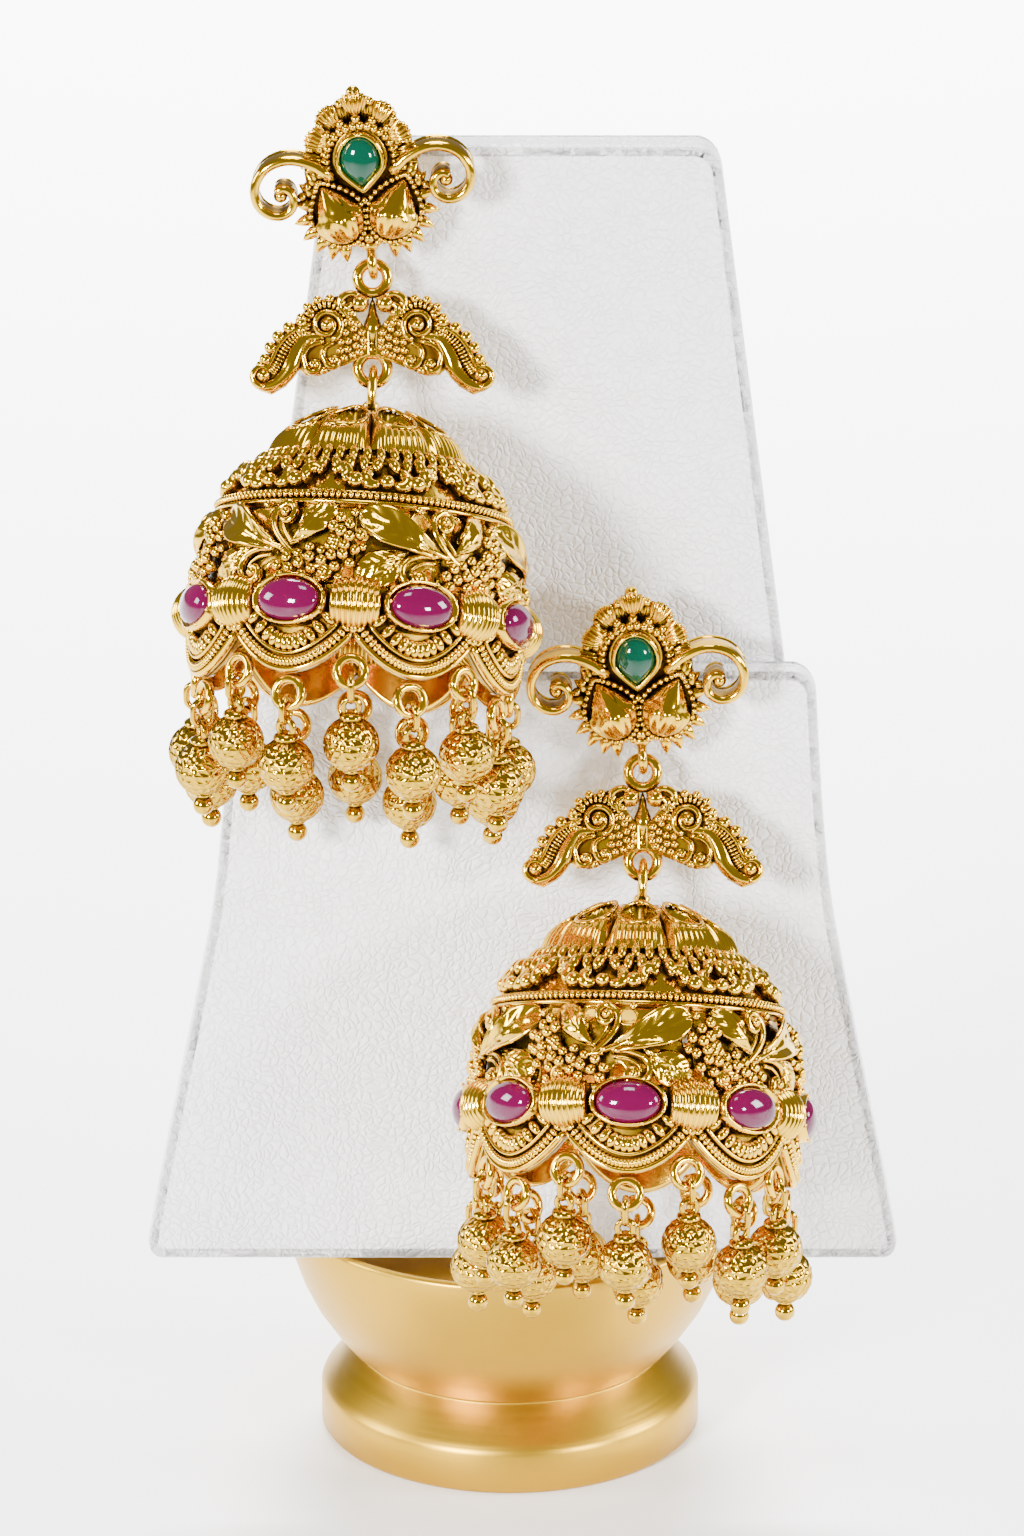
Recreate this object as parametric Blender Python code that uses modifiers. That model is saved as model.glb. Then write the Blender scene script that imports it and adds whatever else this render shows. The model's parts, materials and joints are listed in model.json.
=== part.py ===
"""A pair of jhumka earrings pinned on a two-step leather display stand with a turned brass foot.

Frame: X to the right, Y away from the viewer, Z up, with the origin at the centre of the foot's underside.
Each earring is a stud with a post, a crescent link and a hollow pierced bell. The crescent and the bell
turn on their rings, so their nodes are children of an empty that stands on the ring's wire.
"""

import math

import bmesh
import bpy
from mathutils import Matrix, Vector

MM = 0.001
GAP = 0.3 * MM

# Turned brass foot and bowl
FOOT_R = 21.5 * MM
FOOT_LIP = 5.0 * MM
NECK_R = 17.7 * MM
NECK_Z = 9.6 * MM
BOWL_R = 25.8 * MM
BOWL_TOP = 27.6 * MM
BASE_SIDES = 24
# Share of the way from the neck to the bowl's edge, in height and in radius
BOWL_CURVE = ((0.16, 0.31), (0.33, 0.56), (0.50, 0.74), (0.70, 0.89), (0.86, 0.97))

# Leather pads, leaning back together
PAD_CENTRE_X = 1.4 * MM
PAD_FRONT = 18.6 * MM
PAD_LEAN = math.radians(2.0)
PAD_EDGE_R = 1.2 * MM
UPPER_HEIGHT = 126.6 * MM
UPPER_THICK = 5.0 * MM
UPPER_TOP_HALF = 21.0 * MM
UPPER_FOOT_HALF = 37.5 * MM
LOWER_HEIGHT = 68.8 * MM
LOWER_THICK = 3.5 * MM
LOWER_TOP_HALF = 31.8 * MM
LOWER_FOOT_HALF = 42.0 * MM
PAD_TOP_CORNER = 2.7 * MM
PAD_FOOT_CORNER = 2.0 * MM
# Height share and flare share of each pad's side, from its foot to its top
UPPER_SIDE = ((0.0, 1.0), (0.5, 0.5), (1.0, 0.0))
LOWER_SIDE = ((0.0, 1.0), (0.10, 0.88), (0.27, 0.65), (0.44, 0.42), (0.61, 0.20), (0.78, 0.09), (1.0, 0.0))

# Where each earring hangs: place across and up the pads, and how far it rolls
LEFT_HANG = (-16.1 * MM, 114.9 * MM)
RIGHT_HANG = (13.0 * MM, 60.3 * MM)
STUD_ROLL = {"left": math.radians(6.0), "right": math.radians(4.0)}
BELL_ROLL = {"left": math.radians(4.0), "right": math.radians(2.2)}
RUBY_TURN = {"left": math.radians(21.0), "right": math.radians(-4.0)}
CRESCENT_LEAN = math.radians(21.0)
BELL_LEAN = math.radians(27.0)

# Stud: plate, scroll arms, buds, emerald and post
STUD_HALF = 7.2 * MM
STUD_UP = 8.3 * MM
STUD_DOWN = 10.6 * MM
STUD_THICK = 2.0 * MM
STUD_INSET = 0.8 * MM
EMERALD_HALF_W = 2.0 * MM
EMERALD_HALF_H = 2.6 * MM
EMERALD_RISE = 1.3 * MM
EMERALD_POINT = 0.75
BUD_HALF_W = 2.1 * MM
BUD_HALF_H = 3.0 * MM
BUD_RISE = 2.2 * MM
BUD_X = 3.1 * MM
BUD_DOWN = 5.1 * MM
BUD_TURN = math.radians(24.0)
ARM_CENTRE = (8.4 * MM, -2.1 * MM)
ARM_START_R = 5.5 * MM
ARM_END_R = 1.0 * MM
ARM_WIRE_R = 0.65 * MM
ARM_DEPTH = 2.2
POST_R = 0.5 * MM
POST_DOWN = 6.6 * MM
POST_IN_PAD = 2.6 * MM
# Half outline of the stud's plate from the crown's tip down, as shares of STUD_HALF and STUD_UP
CROWN_OUTLINE = (
    (0.0, 1.0), (0.18, 0.95), (0.33, 0.83), (0.44, 0.72), (0.60, 0.76), (0.68, 0.58), (0.86, 0.41),
    (0.92, 0.23), (0.83, 0.07),
)
# The same below the emerald's centre, as shares of STUD_HALF and STUD_DOWN
SEPAL_OUTLINE = (
    (0.78, 0.06), (0.92, 0.15), (1.0, 0.30), (1.0, 0.49), (0.92, 0.66), (0.74, 0.84), (0.49, 0.93),
    (0.28, 0.93), (0.14, 0.88), (0.12, 1.0), (0.0, 1.0),
)

# Rings that carry the crescent and the bell
RING_R = 1.6 * MM
RING_WIRE_R = 0.6 * MM
LOOP_R = 1.35 * MM
LOOP_WIRE_R = 0.5 * MM
BELL_LOOP_LONG = 1.5 * MM
RING_SIDES = 10
WIRE_SIDES = 5

# Crescent
CRESCENT_HALF = 12.8 * MM
CRESCENT_HEIGHT = 11.3 * MM
CRESCENT_THICK = 2.0 * MM
CRESCENT_RINGS_APART = 9.7 * MM
CRESCENT_TOP = 1.5 * MM
ROSETTE_R = 1.8 * MM
ROSETTE_THICK = 3.0 * MM
ROSETTE_AT = (0.39, 0.30)
CREST_BALL_R = 0.85 * MM
CREST_BALL_AT = (0.115, 0.09)
HORN_RIB_R = 0.65 * MM
# Half outline from the top ring out to the horn's tip and back, as shares of half width and height
CRESCENT_OUTLINE = (
    (0.0, 0.02), (0.11, 0.02), (0.20, 0.0), (0.33, 0.01), (0.42, 0.03), (0.52, 0.17), (0.63, 0.27),
    (0.73, 0.39), (0.83, 0.57), (0.91, 0.71), (1.0, 0.81), (0.99, 0.93), (0.91, 1.0), (0.80, 1.0),
    (0.68, 0.92), (0.60, 0.76), (0.54, 0.79), (0.45, 0.80), (0.34, 0.73), (0.21, 0.66), (0.13, 0.61),
    (0.0, 0.58),
)
HORN_RIB = ((0.49, 0.42), (0.59, 0.52), (0.67, 0.68), (0.74, 0.86), (0.84, 0.95))
# Centre and half size of each opening in the crescent, as shares of half width and height
CRESCENT_GAPS = ((0.085, 0.22, 0.038, 0.085), (0.41, 0.60, 0.045, 0.05))

# Bell: a dome on a short drum, hollow, with s measured down its axis from the ring that carries it
BELL_APEX = 3.4 * MM
BELL_DEPTH = 30.2 * MM
BELL_R = 17.3 * MM
# The stud's seat stands out from its pad, so that the bell's back clears it
BELL_BACK = 12.9 * MM
HANG_OUT = BELL_R - BELL_BACK
BELL_WALL = 1.1 * MM
BELL_SIDES = 16
KNOB_R = 1.9 * MM
# Depth share and radius share down the outside
BELL_OUTSIDE = (
    (0.02, 0.20), (0.07, 0.38), (0.15, 0.54), (0.20, 0.61), (0.335, 0.865), (0.36, 0.905), (0.50, 0.96),
    (0.72, 1.0), (1.0, 1.0),
)
# The same down the inside, shares of the inner radius
BELL_INSIDE = ((0.10, 0.38), (0.36, 0.88), (0.68, 0.99), (1.0, 1.0))
PETALS = 8
PETAL_SHARE = 0.105
PETAL_SIZE = (2.7 * MM, 1.0 * MM, 2.8 * MM)
PETAL_TILT = math.radians(52.0)

# Pierced vine band: six motifs, each with leaves, grapes and openings; its foot is this far above the edge
MOTIFS = 6
VINE_UP = 9.6 * MM
VINE_HEIGHT = 9.0 * MM
# Across a motif, down the band, then half sizes as shares of the band's height, and the turn
LEAF = (0.36, 0.36, 0.50, 0.17, math.radians(-24.0))
GRAPES = (0.78, 0.66, 0.40, 0.20, math.radians(20.0))
VINE_RISE = 1.3 * MM
VINE_GAPS = (
    (0.08, 0.30, 0.12, 0.14, 0.0),
    (0.26, 0.80, 0.26, 0.10, math.radians(-14.0)),
    (0.76, 0.20, 0.16, 0.12, math.radians(10.0)),
)

# Ruby row: bezels and ribbed barrels in turn, centred this far above the bell's edge
RUBIES = 8
RUBY_UP = 7.8 * MM
RUBY_HALF_W = 3.35 * MM
RUBY_HALF_H = 2.1 * MM
RUBY_RISE = 1.5 * MM
STONE_CLEARANCE = 0.25 * MM
BEZEL_WALL = 0.55 * MM
BEZEL_RISE = 1.5 * MM
RECESS_DEPTH = 0.8 * MM
BEZEL_ROOT = 1.0 * MM
RUBY_BOSS_RISE = 0.6 * MM
BARREL_HALF_LONG = 2.7 * MM
BARREL_HALF_H = 2.4 * MM
BARREL_RISE = 1.3 * MM
BARREL_SIDES = 6

# Scalloped edge and the loops under it, with heights from the bell's edge
SCALLOP_RISE = 4.4 * MM
SCALLOP_RIB_R = 0.8 * MM
SCALLOP_POINTS = 4
NOTCH_R = 3.2 * MM
NOTCH_RISE = 2.0 * MM
NOTCH_SIDES = 6
TABS = 2 * RUBIES
TAB_R = 1.55 * MM
TAB_WIRE_R = 0.4 * MM
TAB_INSET = 0.6 * MM
TAB_LEG = 2.7 * MM
LOW_TAB_DROP = 1.9 * MM
HIGH_TAB_RISE = 0.6 * MM

# Drops: a hammered ball on a long eye
DROP_BALL_R = 3.0 * MM
DROP_HANG = 6.45 * MM
EYE_R = 1.0 * MM
EYE_WIRE_R = 0.4 * MM

PARTS = None
TOOLS = None
BOOLEANS = []


def clear_scene():
    for obj in list(bpy.data.objects):
        bpy.data.objects.remove(obj, do_unlink=True)


def new_collection(name, helper=False):
    collection = bpy.data.collections.new(name)
    bpy.context.scene.collection.children.link(collection)
    collection.hide_render = helper
    return collection


def finish_material(name, colour, roughness, metallic=0.0, transmission=0.0):
    material = bpy.data.materials.new(name)
    material.use_nodes = True
    shader = material.node_tree.nodes["Principled BSDF"]
    shader.inputs["Base Color"].default_value = (*colour, 1.0)
    shader.inputs["Roughness"].default_value = roughness
    shader.inputs["Metallic"].default_value = metallic
    shader.inputs["Transmission Weight"].default_value = transmission
    return material


def add_object(name, mesh, parent, collection, material=None):
    obj = bpy.data.objects.new(name, mesh)
    collection.objects.link(obj)
    obj.parent = parent
    if material:
        mesh.materials.clear()
        mesh.materials.append(material)
    if collection.hide_render:
        obj.hide_render = True
        obj.display_type = "WIRE"
    return obj


def mesh_of(bm, name):
    bm.normal_update()
    bmesh.ops.recalc_face_normals(bm, faces=bm.faces)
    mesh = bpy.data.meshes.new(name)
    bm.to_mesh(mesh)
    bm.free()
    return mesh


def mesh_from_curve(curve, name):
    """The curve's tube or plate as a mesh with its caps welded on."""
    carrier = bpy.data.objects.new(name, curve)
    bpy.context.scene.collection.objects.link(carrier)
    graph = bpy.context.evaluated_depsgraph_get()
    mesh = bpy.data.meshes.new_from_object(carrier.evaluated_get(graph))
    bpy.data.objects.remove(carrier, do_unlink=True)
    bm = bmesh.new()
    bm.from_mesh(mesh)
    bpy.data.meshes.remove(mesh)
    bmesh.ops.remove_doubles(bm, verts=bm.verts, dist=1e-6)
    return bm


def plate(name, outline, thickness, centre_y=0.0):
    """A flat outline of (x, z) points as a plate of this thickness, standing in the XZ plane."""
    curve = bpy.data.curves.new(name, "CURVE")
    curve.dimensions = "2D"
    curve.fill_mode = "BOTH"
    curve.extrude = thickness / 2
    spline = curve.splines.new("POLY")
    spline.points.add(len(outline) - 1)
    for point, (x, z) in zip(spline.points, outline):
        point.co = (x, z, 0.0, 1.0)
    spline.use_cyclic_u = True
    bm = mesh_from_curve(curve, name)
    bmesh.ops.dissolve_limit(bm, angle_limit=0.01, verts=bm.verts, edges=bm.edges)
    bm.transform(Matrix.Translation((0, centre_y, 0)) @ Matrix.Rotation(math.pi / 2, 4, "X"))
    return mesh_of(bm, name)


def tube(name, points, radius, bevel_resolution=0):
    curve = bpy.data.curves.new(name, "CURVE")
    curve.dimensions = "3D"
    curve.bevel_depth = radius
    curve.bevel_resolution = bevel_resolution
    curve.use_fill_caps = True
    spline = curve.splines.new("POLY")
    spline.points.add(len(points) - 1)
    for point, place in zip(spline.points, points):
        point.co = (*place, 1.0)
    return mesh_of(mesh_from_curve(curve, name), name)


def ring_bm(radius, wire_radius, longer=0.0):
    """A ring in the YZ plane round the origin, its lower half moved down to make it longer."""
    bpy.ops.mesh.primitive_torus_add(
        major_segments=RING_SIDES,
        minor_segments=WIRE_SIDES,
        major_radius=radius,
        minor_radius=wire_radius,
        location=(0, 0, 0),
        rotation=(0, 0, 0),
    )
    carrier = bpy.context.object
    bm = bmesh.new()
    bm.from_mesh(carrier.data)
    bpy.data.objects.remove(carrier, do_unlink=True)
    bm.transform(Matrix.Rotation(math.pi / 2, 4, "Y") @ Matrix.Rotation(math.pi / RING_SIDES, 4, "Z"))
    lower = [v for v in bm.verts if v.co.z < 0]
    bmesh.ops.translate(bm, verts=lower, vec=(0, 0, -longer))
    return bm


def hook_bm(radius, wire_radius, leg):
    """The ring's upper half with two straight legs down, for a loop whose feet are soldered in."""
    bm = ring_bm(radius, wire_radius)
    bmesh.ops.delete(bm, geom=[v for v in bm.verts if v.co.z < -wire_radius / 100], context="VERTS")
    legs = bmesh.ops.extrude_edge_only(bm, edges=[e for e in bm.edges if e.is_boundary])["geom"]
    feet = [v for v in legs if isinstance(v, bmesh.types.BMVert)]
    bmesh.ops.translate(bm, verts=feet, vec=(0, 0, -leg))
    bmesh.ops.holes_fill(bm, edges=[e for e in bm.edges if e.is_boundary])
    return bm


def face_on(bm):
    """Turns a ring from the YZ plane into the XZ plane."""
    bm.transform(Matrix.Rotation(math.pi / 2, 4, "Z"))
    return bm


def lathe(name, profile, sides, parent, collection, material):
    """A profile of (radius, z) points, from the top down its outer side, turned about Z."""
    mesh = bpy.data.meshes.new(name)
    bm = bmesh.new()
    verts = [bm.verts.new((radius, 0, z)) for radius, z in profile]
    for a, b in zip(verts, verts[1:]):
        bm.edges.new((a, b))
    bm.to_mesh(mesh)
    bm.free()
    obj = add_object(name, mesh, parent, collection, material)
    screw = obj.modifiers.new("Turn", "SCREW")
    screw.axis = "Z"
    screw.steps = sides
    screw.render_steps = sides
    screw.use_merge_vertices = True
    screw.merge_threshold = 1e-5
    screw.use_smooth_shade = True
    return obj


def boolean(obj, label, operation, others):
    """Notes a join or a cut with every object of a helper collection, made once all shapes stand."""
    BOOLEANS.append((obj, label, operation, others))


def make_booleans():
    for obj, label, operation, others in BOOLEANS:
        modifier = obj.modifiers.new(label, "BOOLEAN")
        modifier.operation = operation
        modifier.solver = "EXACT"
        modifier.operand_type = "COLLECTION"
        modifier.collection = others


def helper_set(name):
    collection = bpy.data.collections.new(name)
    collection.hide_render = True
    TOOLS.children.link(collection)
    return collection


def cabochon_bm(half_w, half_h, rise, point, rings):
    """A domed stone on the XZ plane, rising to -Y, drawn to a point below when asked."""
    bm = bmesh.new()
    bmesh.ops.create_uvsphere(bm, u_segments=10, v_segments=rings, radius=1.0)
    bm.transform(Matrix.Rotation(math.pi / 2, 4, "X"))
    cut = bmesh.ops.bisect_plane(
        bm,
        geom=bm.verts[:] + bm.edges[:] + bm.faces[:],
        plane_co=(0, 0, 0),
        plane_no=(0, 1, 0),
        clear_outer=True,
        dist=1e-6,
    )
    bmesh.ops.contextual_create(bm, geom=[e for e in cut["geom_cut"] if isinstance(e, bmesh.types.BMEdge)])
    for v in bm.verts:
        narrow = 1.0 - point * max(0.0, -v.co.z) ** 1.6
        v.co = Vector((v.co.x * half_w * narrow, v.co.y * rise, v.co.z * half_h))
    return bm


def bezel_bm(half_w, half_h, root, rise, recess, wall, point=0.0):
    """A setting: an oval boss from y = root to y = -rise with a recess for its stone."""
    bm = bmesh.new()
    bmesh.ops.create_cone(bm, cap_ends=True, segments=10, radius1=1.0, radius2=1.0, depth=root + rise)
    bm.transform(Matrix.Translation((0, (root - rise) / 2, 0)) @ Matrix.Rotation(math.pi / 2, 4, "X"))
    outer_w = half_w + wall
    outer_h = half_h + wall
    for v in bm.verts:
        narrow = 1.0 - point * max(0.0, -v.co.z) ** 1.6
        v.co.x *= outer_w * narrow
        v.co.z *= outer_h
    if not recess:
        return bm
    bm.normal_update()
    front = min(bm.faces, key=lambda f: f.calc_center_median().y)
    bmesh.ops.inset_individual(bm, faces=[front], thickness=wall, use_even_offset=True)
    inner = bmesh.ops.extrude_discrete_faces(bm, faces=[front])["faces"][0]
    bmesh.ops.translate(bm, verts=inner.verts, vec=(0, recess, 0))
    return bm


def ellipsoid_bm(size, sides, rings):
    bm = bmesh.new()
    bmesh.ops.create_uvsphere(bm, u_segments=sides, v_segments=rings, radius=1.0)
    bm.transform(Matrix.Diagonal((*size, 1.0)))
    return bm


def lump_bm(size):
    return placed(bead_bm(1.0), Matrix.Diagonal((*size, 1.0)))


def bead_bm(radius, detail=1):
    bm = bmesh.new()
    bmesh.ops.create_icosphere(bm, subdivisions=detail, radius=radius)
    return bm


def placed(bm, matrix):
    bm.transform(matrix)
    return bm


def mirrored(half):
    """A closed outline from its right half, which starts and ends on the centre line."""
    return list(half) + [(-x, z) for x, z in reversed(half[1:-1])]


def make_base(brass):
    curve = [
        (NECK_R + (BOWL_R - NECK_R) * wide, NECK_Z + (BOWL_TOP - NECK_Z) * high)
        for high, wide in BOWL_CURVE
    ]
    profile = [(0.0, BOWL_TOP), (BOWL_R, BOWL_TOP)] + curve[::-1]
    profile += [(NECK_R, NECK_Z), (FOOT_R, FOOT_LIP), (FOOT_R, 0.0), (0.0, 0.0)]
    return lathe("brass_base", profile, BASE_SIDES, None, PARTS, brass)


def pad_outline(height, top_half, foot_half, side):
    """A flared pad's outline, with an arc at each corner."""
    sides = [(top_half + (foot_half - top_half) * flare, height * share) for share, flare in side]
    right = [(0.0, 0.0)]
    right += corner_arc(sides[0], sides[1], PAD_FOOT_CORNER, 1.0)
    right += sides[1:-1]
    right += corner_arc(sides[-1], sides[-2], PAD_TOP_CORNER, -1.0)[::-1]
    right.append((0.0, height))
    return mirrored(right)


def corner_arc(corner, along, radius, turn, steps=4):
    """Points of an arc that rounds the corner between a level edge and the edge towards `along`."""
    corner = Vector(corner)
    inward = Vector((-1.0, 0.0))
    onward = (Vector(along) - corner).normalized()
    half = inward.angle(onward) / 2
    reach = radius / math.tan(half)
    centre = corner + (inward + onward).normalized() * (radius / math.sin(half))
    start = corner + inward * reach - centre
    sweep = (math.pi - 2 * half) * turn
    arc = []
    for step in range(steps + 1):
        angle = sweep * step / steps
        spin = Matrix.Rotation(angle, 2)
        arc.append(tuple(centre + spin @ start))
    return arc


def make_pad(name, outline, thickness, back, seat, holes, leather):
    mesh = plate(name, outline, thickness, back + thickness / 2)
    pad = add_object(name, mesh, seat, PARTS, leather)
    edge = pad.modifiers.new("Rounded edge", "BEVEL")
    edge.width = PAD_EDGE_R
    edge.segments = 1
    edge.limit_method = "ANGLE"
    edge.angle_limit = math.radians(50)
    boolean(pad, "Post hole", "DIFFERENCE", holes)
    return pad


def arm_points(side):
    """The scroll arm's spiral, from beside the emerald out and round to its ball."""
    points = []
    for step in range(11):
        share = 1 - step / 10
        angle = math.radians(-180 + 345 * share)
        radius = ARM_END_R + (ARM_START_R - ARM_END_R) * share**2.2
        x = ARM_CENTRE[0] + radius * math.cos(angle)
        points.append((side * x, 0.0, ARM_CENTRE[1] + radius * math.sin(angle)))
    return points


def make_stud(side, seat, gold, green):
    """The stud stands on an empty at the crescent's ring, so its loop is round the origin."""
    emerald_up = STUD_DOWN + LOOP_R - LOOP_WIRE_R / 2
    face_y = STUD_INSET - STUD_THICK / 2
    half = [(x * STUD_HALF, z * STUD_UP) for x, z in CROWN_OUTLINE]
    half += [(x * STUD_HALF, -z * STUD_DOWN) for x, z in SEPAL_OUTLINE]
    lift = Matrix.Translation((0, 0, emerald_up))
    mesh = plate(f"{side}_stud", mirrored(half), STUD_THICK, STUD_INSET)
    mesh.transform(lift)
    stud = add_object(f"{side}_stud", mesh, seat, PARTS, gold)
    trims = helper_set(f"{side} stud trims")

    def trim(label, bm):
        add_object(f"{side} {label}", mesh_of(bm, label), seat, trims)

    trim("stud loop", ring_bm(LOOP_R, LOOP_WIRE_R))
    for hand in (-1, 1):
        arm = tube("arm", arm_points(hand), ARM_WIRE_R)
        arm.transform(lift @ Matrix.Diagonal((1.0, ARM_DEPTH, 1.0, 1.0)))
        add_object(f"{side} arm", arm, seat, trims)
        bud = ellipsoid_bm((BUD_HALF_W, BUD_RISE, BUD_HALF_H), 8, 5)
        turn = Matrix.Rotation(hand * BUD_TURN, 4, "Y")
        trim("bud", placed(bud, lift @ Matrix.Translation((hand * BUD_X, face_y, -BUD_DOWN)) @ turn))
    wall = BEZEL_WALL + STONE_CLEARANCE
    bezel = bezel_bm(
        EMERALD_HALF_W, EMERALD_HALF_H, STUD_THICK / 2, BEZEL_RISE, RECESS_DEPTH, wall, EMERALD_POINT
    )
    trim("emerald bezel", placed(bezel, lift @ Matrix.Translation((0, face_y, 0))))
    into_pad = HANG_OUT + POST_IN_PAD
    post = bmesh.new()
    bmesh.ops.create_cone(post, cap_ends=True, segments=10, radius1=POST_R, radius2=POST_R, depth=into_pad)
    post.transform(Matrix.Translation((0, into_pad / 2, -POST_DOWN)) @ Matrix.Rotation(math.pi / 2, 4, "X"))
    trim("post", placed(post, lift))
    boolean(stud, "Trims", "UNION", trims)
    stone_y = face_y - BEZEL_RISE + RECESS_DEPTH - STONE_CLEARANCE
    stone = cabochon_bm(
        EMERALD_HALF_W - BEZEL_WALL / 2, EMERALD_HALF_H - BEZEL_WALL / 2, EMERALD_RISE, EMERALD_POINT, 8
    )
    placed(stone, lift @ Matrix.Translation((0, stone_y, 0)))
    add_object(f"{side}_emerald", mesh_of(stone, "emerald"), seat, PARTS, green)
    return emerald_up


def crescent_point(x_share, down_share):
    """A point of the crescent's face, from the centre of the upper ring's top wire."""
    return (x_share * CRESCENT_HALF, -RING_R - CRESCENT_TOP - down_share * CRESCENT_HEIGHT)


def make_crescent(side, pivot, gold):
    half = [crescent_point(x, z) for x, z in CRESCENT_OUTLINE]
    mesh = plate(f"{side}_crescent", mirrored(half), CRESCENT_THICK)
    crescent = add_object(f"{side}_crescent", mesh, pivot, PARTS, gold)
    trims = helper_set(f"{side} crescent trims")
    gaps = helper_set(f"{side} crescent gaps")

    def trim(label, bm):
        add_object(f"{side} {label}", mesh_of(bm, label), pivot, trims)

    for drop in (RING_R, RING_R + CRESCENT_RINGS_APART):
        ring = face_on(ring_bm(RING_R, RING_WIRE_R))
        trim("ring", placed(ring, Matrix.Translation((0, 0, -drop))))
    for hand in (-1, 1):
        rib = [(hand * x, -CRESCENT_THICK / 2, z) for x, z in (crescent_point(*p) for p in HORN_RIB)]
        add_object(f"{side} horn rib", tube("horn rib", rib, HORN_RIB_R), pivot, trims)
        x, z = crescent_point(*ROSETTE_AT)
        rosette = bmesh.new()
        bmesh.ops.create_cone(
            rosette, cap_ends=True, segments=10, radius1=ROSETTE_R, radius2=ROSETTE_R, depth=ROSETTE_THICK
        )
        rosette.transform(Matrix.Translation((hand * x, 0, z)) @ Matrix.Rotation(math.pi / 2, 4, "X"))
        trim("rosette", rosette)
        x, z = crescent_point(*CREST_BALL_AT)
        trim("crest ball", placed(bead_bm(CREST_BALL_R), Matrix.Translation((hand * x, -CREST_BALL_R, z))))
        for x_share, z_share, half_w, half_h in CRESCENT_GAPS:
            x, z = crescent_point(x_share, z_share)
            cutter = bmesh.new()
            bmesh.ops.create_cone(
                cutter, cap_ends=True, segments=5, radius1=1.0, radius2=1.0, depth=3 * CRESCENT_THICK
            )
            size = Matrix.Diagonal((half_w * CRESCENT_HALF, 1.0, half_h * CRESCENT_HEIGHT, 1.0))
            cutter.transform(Matrix.Translation((hand * x, 0, z)) @ size @ Matrix.Rotation(math.pi / 2, 4, "X"))
            add_object(f"{side} crescent gap", mesh_of(cutter, "gap"), pivot, gaps)
    boolean(crescent, "Gaps", "DIFFERENCE", gaps)
    boolean(crescent, "Trims", "UNION", trims)
    return crescent


def on_bell(angle, radius, down):
    """The frame at a place on the bell, with -Y pointing straight out and Z up the axis."""
    place = (radius * math.sin(angle), -radius * math.cos(angle), -down)
    return Matrix.Translation(place) @ Matrix.Rotation(angle, 4, "Z")


def bell_radius(down):
    """The outside radius at a depth, read off the profile."""
    share = (down - BELL_APEX) / BELL_DEPTH
    for (d0, r0), (d1, r1) in zip(BELL_OUTSIDE, BELL_OUTSIDE[1:]):
        if share <= d1:
            break
    return BELL_R * (r0 + (r1 - r0) * (share - d0) / (d1 - d0))


def bell_profile():
    outside = [(BELL_R * wide, -BELL_APEX - BELL_DEPTH * deep) for deep, wide in BELL_OUTSIDE]
    inner_r = BELL_R - BELL_WALL
    inside = [(inner_r * wide, -BELL_APEX - BELL_DEPTH * deep) for deep, wide in BELL_INSIDE]
    knob_top = -BELL_APEX + LOOP_WIRE_R
    ceiling = -BELL_APEX - BELL_DEPTH * 0.07
    return [(0.0, knob_top), (KNOB_R, knob_top)] + outside + inside[::-1] + [(0.0, ceiling)]


def vine_place(motif, across, down, hand, turn):
    """Where a vine shape sits: `across` is its share of the motif's width and `down` of the band's height."""
    angle = turn + hand * (motif + across) * 2 * math.pi / MOTIFS
    depth = BELL_APEX + BELL_DEPTH - VINE_UP - (1 - down) * VINE_HEIGHT
    return angle, bell_radius(depth), depth


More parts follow.
